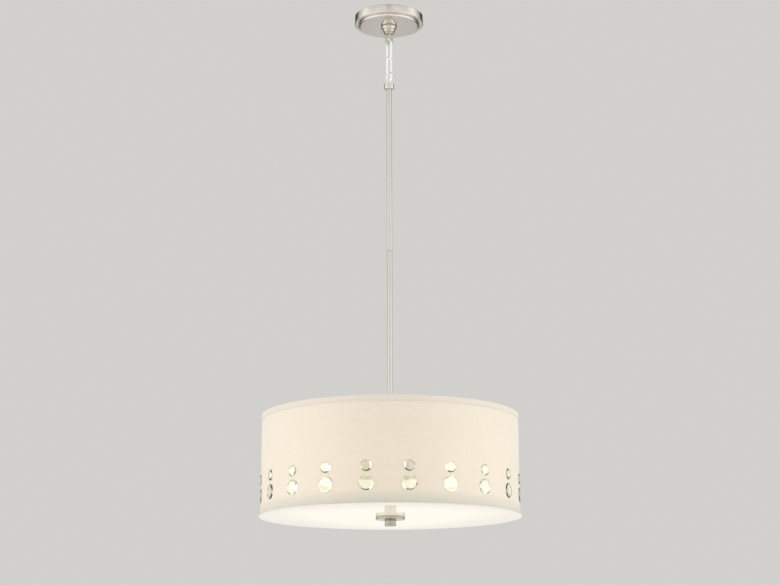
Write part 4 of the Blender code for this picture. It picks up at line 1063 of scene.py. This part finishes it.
def glass_disc(radius, place):
    """One disc: flat back, straight side, sloping edge, low dome."""
    slope = radius - SLOPE_WIDTH
    shares = [1 - step / DOME_STEPS for step in range(DOME_STEPS)]
    dome = [(slope * out, DISC_PROUD - DOME_RISE * out * out) for out in shares]
    outline = [(0, -DISC_BACK), (radius - BACK_EASE, -DISC_BACK), (radius, -DISC_BACK + BACK_EASE),
               (radius, DISC_PROUD / 4), *dome, (0, DISC_PROUD)]
    return lathe(outline, 48, place)


for row, radius, height in DISC_ROWS:
    discs = together(glass_disc(radius, place) for place in disc_places(height))
    dress(f"{row}_glass", discs, GLASS, row, sharp=radians(12))
print("glass discs:", len(DISC_ROWS) * PAIRS)

# %% [markdown]
# The hub is a nickel can with a screw-in cover. Three ceramic lampholders stand out from it, and a bulb
# with a real screw cap turns in each. They are hidden from below by the diffuser, but show from above, and
# through the glass.

# %% Hub and threaded rod
HUB_SHEET = 0.0015
HUB_TOP = 0.002
ROD_DEPTH, ROD_PITCH = 0.0004, 0.0010

hub_radius, low, high = size_of("cluster_hub")
hub_wall = hub_radius - HUB_SHEET
under_top = high - HUB_TOP
hub = turned((PIPE_HOLE, high, 0.0002), (hub_radius, high, 0.0022), (hub_radius, low, 0.0004),
             (hub_wall, low, 0.0002), (hub_wall, under_top, 0.001), (PIPE_HOLE, under_top, 0.0001))
dress("hub_can", hub, NICKEL_TURNED, "cluster_hub")
low, high = size_of("hub_cover")[1:]
cover = collar(hub_wall - LAYER_GAP, ROD_HOLE, low, high, (0.0002, 0.0008, 0.0002, 0.0001))
dress("hub_cover_plate", cover, NICKEL_TURNED, "hub_cover")
radius, low, high = size_of("centre_rod")
rod = thread(radius, ROD_DEPTH, ROD_PITCH, low, high, steps=24, rows_per_turn=5)
dress("centre_rod_thread", rod, ZINC, "centre_rod")
finish_node("splice_block", CERAMIC)
finish_node("supply_lead", LEAD_SKIN)
print("hub: can, cover, threaded rod")

# %% Lampholders and bulbs
SOCKET_LENGTH = 0.041
SOCKET_RADIUS = 0.017
CAVITY_DEPTH = 0.027
CAVITY_RADIUS = 0.0141
CAP_RADIUS, CAP_SHEET = 0.0131, 0.0010
CAP_LENGTH = 0.0260
CAP_PITCH = 0.0036
CAP_THREAD = 0.0009
CAP_PIP = ((0.0030, 0.0), (0.0045, 0.0005), (0.0047, 0.0020), (0.0100, 0.0042))     # radius, from the tip
CAP_START = 0.0055              # the thread starts this far from the tip
CAP_ROWS, CAP_STEPS = 48, 40
BULB_RADIUS = 0.030
BULB_LENGTH = 0.110             # with its cap
BULB_NECK = 0.006
SWELL_STEPS, END_STEPS = 20, 16
HUB_GAP = 0.0003
LEAD_HOLE, BUSH_DEPTH = 0.0025, 0.0103
SOCKET_NECK = SOCKET_RADIUS - 0.0008


def socket_body(start):
    """A lampholder's body from its back outward, with a band and a rolled lip."""
    mouth = start + SOCKET_LENGTH
    band = start + SOCKET_LENGTH * 0.55
    floor = mouth - CAVITY_DEPTH
    return softened([(PIPE_HOLE, start, 0.0002), (SOCKET_RADIUS - 0.0015, start, 0.0006),
                     (SOCKET_NECK, start + 0.002, 0.0008), (SOCKET_NECK, band, 0.0004),
                     (SOCKET_RADIUS, band + 0.0008, 0.0004), (SOCKET_RADIUS, mouth, 0.0009),
                     (CAVITY_RADIUS, mouth, 0.0006), (CAVITY_RADIUS, floor, 0.0006),
                     (LEAD_HOLE, floor, 0.0002), (LEAD_HOLE, start + BUSH_DEPTH, 0.0001),
                     (PIPE_HOLE, start + BUSH_DEPTH, 0.0001)])


def bulb_cap(tip):
    """The screw cap: a rounded thread over a tapered end."""
    first, last = tip + CAP_START, tip + CAP_LENGTH
    rings = [circle(radius, tip + height, CAP_STEPS) for radius, height in CAP_PIP]
    for row in range(CAP_ROWS + 1):
        height = first + (last - first) * row / CAP_ROWS
        fade = max(0.0, min(1.0, (height - first) / 0.002, (last - height) / 0.003))
        ring = []
        for s in range(CAP_STEPS):
            wave = 0.5 - 0.5 * cos(tau * (height / CAP_PITCH - s / CAP_STEPS))
            radius = CAP_RADIUS - CAP_THREAD * (1 - fade * wave)
            ring.append((radius * cos(tau * s / CAP_STEPS), radius * sin(tau * s / CAP_STEPS), height))
        rings.append(ring)
    return skin(rings)


def bulb_envelope(start, tip):
    """The glass, from its neck in the cap to its round end."""
    neck = CAP_RADIUS - CAP_SHEET - LAYER_GAP
    neck_end, centre = start + BULB_NECK, tip - BULB_RADIUS
    outline = [(0, start), (neck, start + 0.0005), (neck, neck_end)]
    for step in range(1, SWELL_STEPS):
        share = step / SWELL_STEPS
        swell = share * share * (3 - 2 * share)
        outline.append((neck + (BULB_RADIUS - neck) * swell, neck_end + (centre - neck_end) * share))
    for step in range(END_STEPS):
        angle = pi / 2 * step / END_STEPS
        outline.append((BULB_RADIUS * cos(angle), centre + BULB_RADIUS * sin(angle)))
    return lathe([*outline, (0, tip)], 64)


def lamp_frame(place):
    """The frame of a lamp, its Z axis pointing outward along it."""
    turn = Matrix.Rotation(atan2(place.y, place.x), 4, "Z") @ Matrix.Rotation(pi / 2, 4, "Y")
    return Matrix.Translation((0, 0, place.z)) @ turn


socket_start = hub_radius + HUB_GAP
cap_tip = socket_start + SOCKET_LENGTH - CAVITY_DEPTH + 0.0028
bulb_start = cap_tip + CAP_LENGTH - 0.0002
for lamp, place in zip(LAMPS, BULB_PLACES):
    where = lamp_frame(place)
    envelope = bulb_envelope(bulb_start, cap_tip + BULB_LENGTH)
    parts = (("lampholder", lathe(socket_body(socket_start), 64), CERAMIC, "socket_shell", 32),
             ("bulb_cap", bulb_cap(cap_tip), TIN, "bulb_base", 50),
             ("bulb", envelope, FROSTED, "bulb_glass", 50))
    for piece, mesh, material, stands_for, sharp in parts:
        mesh.transform(where)
        dress(f"{piece}_{lamp}", mesh, material, f"{stands_for}_{lamp}", sharp=radians(sharp))
    for hidden in ("socket_liner", "socket_bush", "socket_contact"):
        finish_node(f"{hidden}_{lamp}", BRASS)
    finish_node(f"socket_lead_{lamp}", LEAD_SKIN)
print("lamps:", len(LAMPS), "cap tip at", round(cap_tip, 4))

# %% [markdown]
# The diffuser is a disc of opal acrylic. Seen from below at a low angle it is almost a mirror: it repeats
# the finial and the room over its own glow. The finial pulls its middle up a little, so it is turned from
# a slightly bowed outline. Its edge is rounded, which draws the bright line at the rim.

# %% Diffuser
DIFFUSER_PROUD = 0.0033         # its edge stands out this far from the cloth
DIFFUSER_THICK = 0.0018
DIFFUSER_EDGE = 0.002
BOW_STEPS = 24

low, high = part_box("diffuser")
diffuser_radius = SHADE_RADIUS + DIFFUSER_PROUD
diffuser_bow = high.z - low.z - DIFFUSER_THICK
bow = [(ROD_HOLE, diffuser_bow)]
for step in range(1, BOW_STEPS):
    bow.append((diffuser_radius * step / BOW_STEPS, diffuser_bow * (1 - (step / BOW_STEPS) ** 2)))
top_z = low.z + DIFFUSER_THICK
edge = softened([(diffuser_radius - DIFFUSER_EDGE, top_z, 0), (diffuser_radius, top_z, 0.0007),
                 (diffuser_radius, low.z, 0.0008), (diffuser_radius - DIFFUSER_EDGE, low.z, 0)])
diffuser = lathe([(radius, top_z + rise) for radius, rise in bow] + edge
                 + [(radius, low.z + rise) for radius, rise in reversed(bow)], SHADE_FLATS)
dress("diffuser_disc", diffuser, ACRYLIC, "diffuser")
print("diffuser: radius", round(diffuser_radius, 4))

# %% [markdown]
# The finial is a thick washer and a short knob that screws up under it. Both were turned, so they are
# outlines with eased corners. The knob then gets shallow flutes for the fingers, by drawing the points of
# its wall inward.

# %% Finial
FLUTES = 18
FLUTE_DEPTH = 0.0003
KNOB_FLOOR = 0.003              # the threaded hole in the knob ends this far above its face

radius, low, high = size_of("finial_disc")
washer = collar(radius, ROD_HOLE, low, high, (0.0005, 0.0003, 0.0002, 0.0001), steps=144)
dress("finial_washer", washer, FINIAL_METAL, "finial_disc")
knob_radius, low, high = size_of("finial_knob")
knob_floor = low + KNOB_FLOOR
knob = turned((0, knob_floor, 0), (ROD_HOLE, knob_floor, 0), (ROD_HOLE, high, 0.0002),
              (knob_radius, high, 0.0004), (knob_radius, low, 0.0008), (0, low, 0), steps=FLUTES * 8)
for point in knob.verts:
    if point.co.xy.length > knob_radius * 0.8:
        across = FLUTES * atan2(point.co.y, point.co.x)
        point.co.xy *= 1 - FLUTE_DEPTH / knob_radius * (0.5 - 0.5 * cos(across))
dress("finial_grip", knob, FINIAL_METAL, "finial_knob")
print("finial: washer and knob")

# %% [markdown]
# The floor is far below. Its paint fades out, so that it has no edge, and it is clear from below, so that
# a view from under it isn't blocked. Metal doesn't see it. What metal sees matters more, because nickel
# with nothing dark to reflect looks like grey paint.

# %% Floor
FLOOR_DROP = 1.6
FLOOR_SIZE = 9
FLOOR_SOLID = 1.5               # the paint fades out from this distance, so the floor has no edge

floor_shape = bmesh.new()
bmesh.ops.create_grid(floor_shape, x_segments=1, y_segments=1, size=FLOOR_SIZE / 2)
floor = as_object(floor_shape)
floor.name = "floor"
floor.location.z = cad_box[0][2] - FLOOR_DROP
floor.visible_glossy = False    # metal sees the studio's tones below it, and not one flat floor
paint, tree, shader, where = new_material("floor_paint", Base_Color=(0.88, 0.88, 0.88, 1), Roughness=0.9)
outward = node(tree, "VectorMath", {0: where}, operation="LENGTH").outputs["Value"]
seen_from_below = node(tree, "NewGeometry").outputs["Backfacing"]
gone = sums(tree, "MAXIMUM", ramped(tree, outward, FLOOR_SOLID, FLOOR_SIZE / 2), seen_from_below)
clear = node(tree, "BsdfTransparent").outputs[0]
sided = node(tree, "MixShader", {0: gone, 1: shader.outputs[0], 2: clear})
feed(tree.nodes["Material Output"], Surface=sided.outputs[0])
floor.data.materials.append(paint)
print("floor at", round(floor.location.z, 3))

# %% [markdown]
# The world is the studio that metal and glass reflect. Its tones go by bearing, from straight in front to
# straight behind, and by height, in four zones: far below, low, level and raised. The darker bands stand
# behind the light, to the left and right. Overhead it is dark, which draws the contours of the canopy's
# step, and straight up it is lighter again, so that a view from above or far below isn't black. Rays that
# have passed through a glass disc see a warmer tone overhead, the lit inside of the shade. The camera sees
# one even pale tone, and matt surfaces are lit evenly.

# %% World
BACKGROUND = (0.64, 0.632, 0.612)
AMBIENT = 0.62
DOWN_TONES = ((0, 1.30), (180, 1.10))
# each tone: the bearing in degrees, and how bright it is
LOW_TONES = ((0, 0.80), (30, 0.80), (60, 1.35), (95, 1.30), (110, 0.70), (122, 0.10), (128, 0.03),
             (170, 0.03), (175, 0.62), (180, 0.66))
LEVEL_TONES = ((0, 0.80), (22, 0.80), (46, 0.92), (80, 1.15), (98, 1.15), (114, 0.80), (128, 0.50),
               (136, 0.32), (158, 0.32), (170, 0.78), (180, 0.80))
RAISED_TONES = ((0, 0.66), (4, 0.68), (10, 0.88), (27, 0.94), (40, 0.88), (56, 0.86), (70, 0.94),
                (80, 1.16), (92, 1.14), (103, 0.85), (112, 0.66), (123, 0.44), (131, 0.05), (154, 0.05),
                (162, 0.80), (180, 0.90))
ZONES = ((-0.70, -0.50, LOW_TONES), (-0.24, -0.13, LEVEL_TONES), (0.20, 0.30, RAISED_TONES))
OVERHEAD, OVERHEAD_FROM = (0.05, 0.05, 0.05), (0.45, 0.70)
OVER_THE_SHADE, SHADE_FROM = (0.20, 0.175, 0.12), (0.10, 0.24)
STRAIGHT_UP, STRAIGHT_FROM = (0.55, 0.54, 0.52), (0.78, 0.88)

world = bpy.data.worlds.new("studio")
bpy.context.scene.world = world
world.use_nodes = True
tree = world.node_tree
way = node(tree, "TexCoord").outputs["Generated"]
x, y, z = node(tree, "SeparateXYZ", {0: way}).outputs
forward = sums(tree, "MULTIPLY", y, -1.0)
bearing = sums(tree, "DIVIDE", sums(tree, "ARCTAN2", sums(tree, "ABSOLUTE", x), forward), pi)


def room_tones(tones):
    """A ramp of greys round the room, from straight in front at 0 degrees to straight behind at 180."""
    ramp = node(tree, "ValToRGB", {0: bearing})
    stops = ramp.color_ramp.elements
    for place, (degrees, tone) in enumerate(tones):
        stop = stops[place] if place < 2 else stops.new(degrees / 180)
        stop.position = degrees / 180
        stop.color = (tone, tone * 0.99, tone * 0.97, 1)
    return ramp.outputs[0]


tone = room_tones(DOWN_TONES)
for start, end, tones in ZONES:
    tone = blended(tree, ramped(tree, z, start, end), tone, room_tones(tones))
rays = node(tree, "LightPath").outputs
through_glass = rays["Is Transmission Ray"]
above_the_shade = sums(tree, "MULTIPLY", ramped(tree, z, *SHADE_FROM), through_glass)
overhead_share = sums(tree, "MAXIMUM", ramped(tree, z, *OVERHEAD_FROM), above_the_shade)
overhead = blended(tree, through_glass, (*OVERHEAD, 1), (*OVER_THE_SHADE, 1))
overhead = blended(tree, ramped(tree, z, *STRAIGHT_FROM), overhead, (*STRAIGHT_UP, 1))
tone = blended(tree, overhead_share, tone, overhead)
tone = blended(tree, rays["Is Diffuse Ray"], tone, (AMBIENT, AMBIENT, AMBIENT, 1))
tone = blended(tree, rays["Is Camera Ray"], tone, (*BACKGROUND, 1))
feed(tree.nodes["Background"], Color=tone)
print("world:", len(ZONES) + 1, "zones")

# %% [markdown]
# Two large soft lamps stand at the sides and a weaker one in front. They light the cloth evenly and give
# it its round form. Metal doesn't see them as squares of light, because its highlights come from the
# world's tones. Together with the world they light a white card to about white, so colours render about as
# they are written.

# %% Lamps
LIGHT_MIDDLE = Vector((0, 0, -0.7))
LAMP_SIZE = 1.8
STUDIO_LAMPS = (("left_lamp", (-2.7, -0.3, -0.3), 36), ("right_lamp", (2.7, -0.3, -0.3), 36),
                ("front_lamp", (0.0, -3.0, -0.1), 24))                  # name, place, power

for name, place, power in STUDIO_LAMPS:
    lamp = bpy.data.lights.new(name, "AREA")
    lamp.size = LAMP_SIZE
    lamp.energy = power
    item = bpy.data.objects.new(name, lamp)
    item.location = place
    item.rotation_euler = (LIGHT_MIDDLE - Vector(place)).to_track_quat("-Z", "Y").to_euler()
    item.visible_glossy = False
    bpy.context.scene.collection.objects.link(item)
print("lamps:", len(STUDIO_LAMPS))
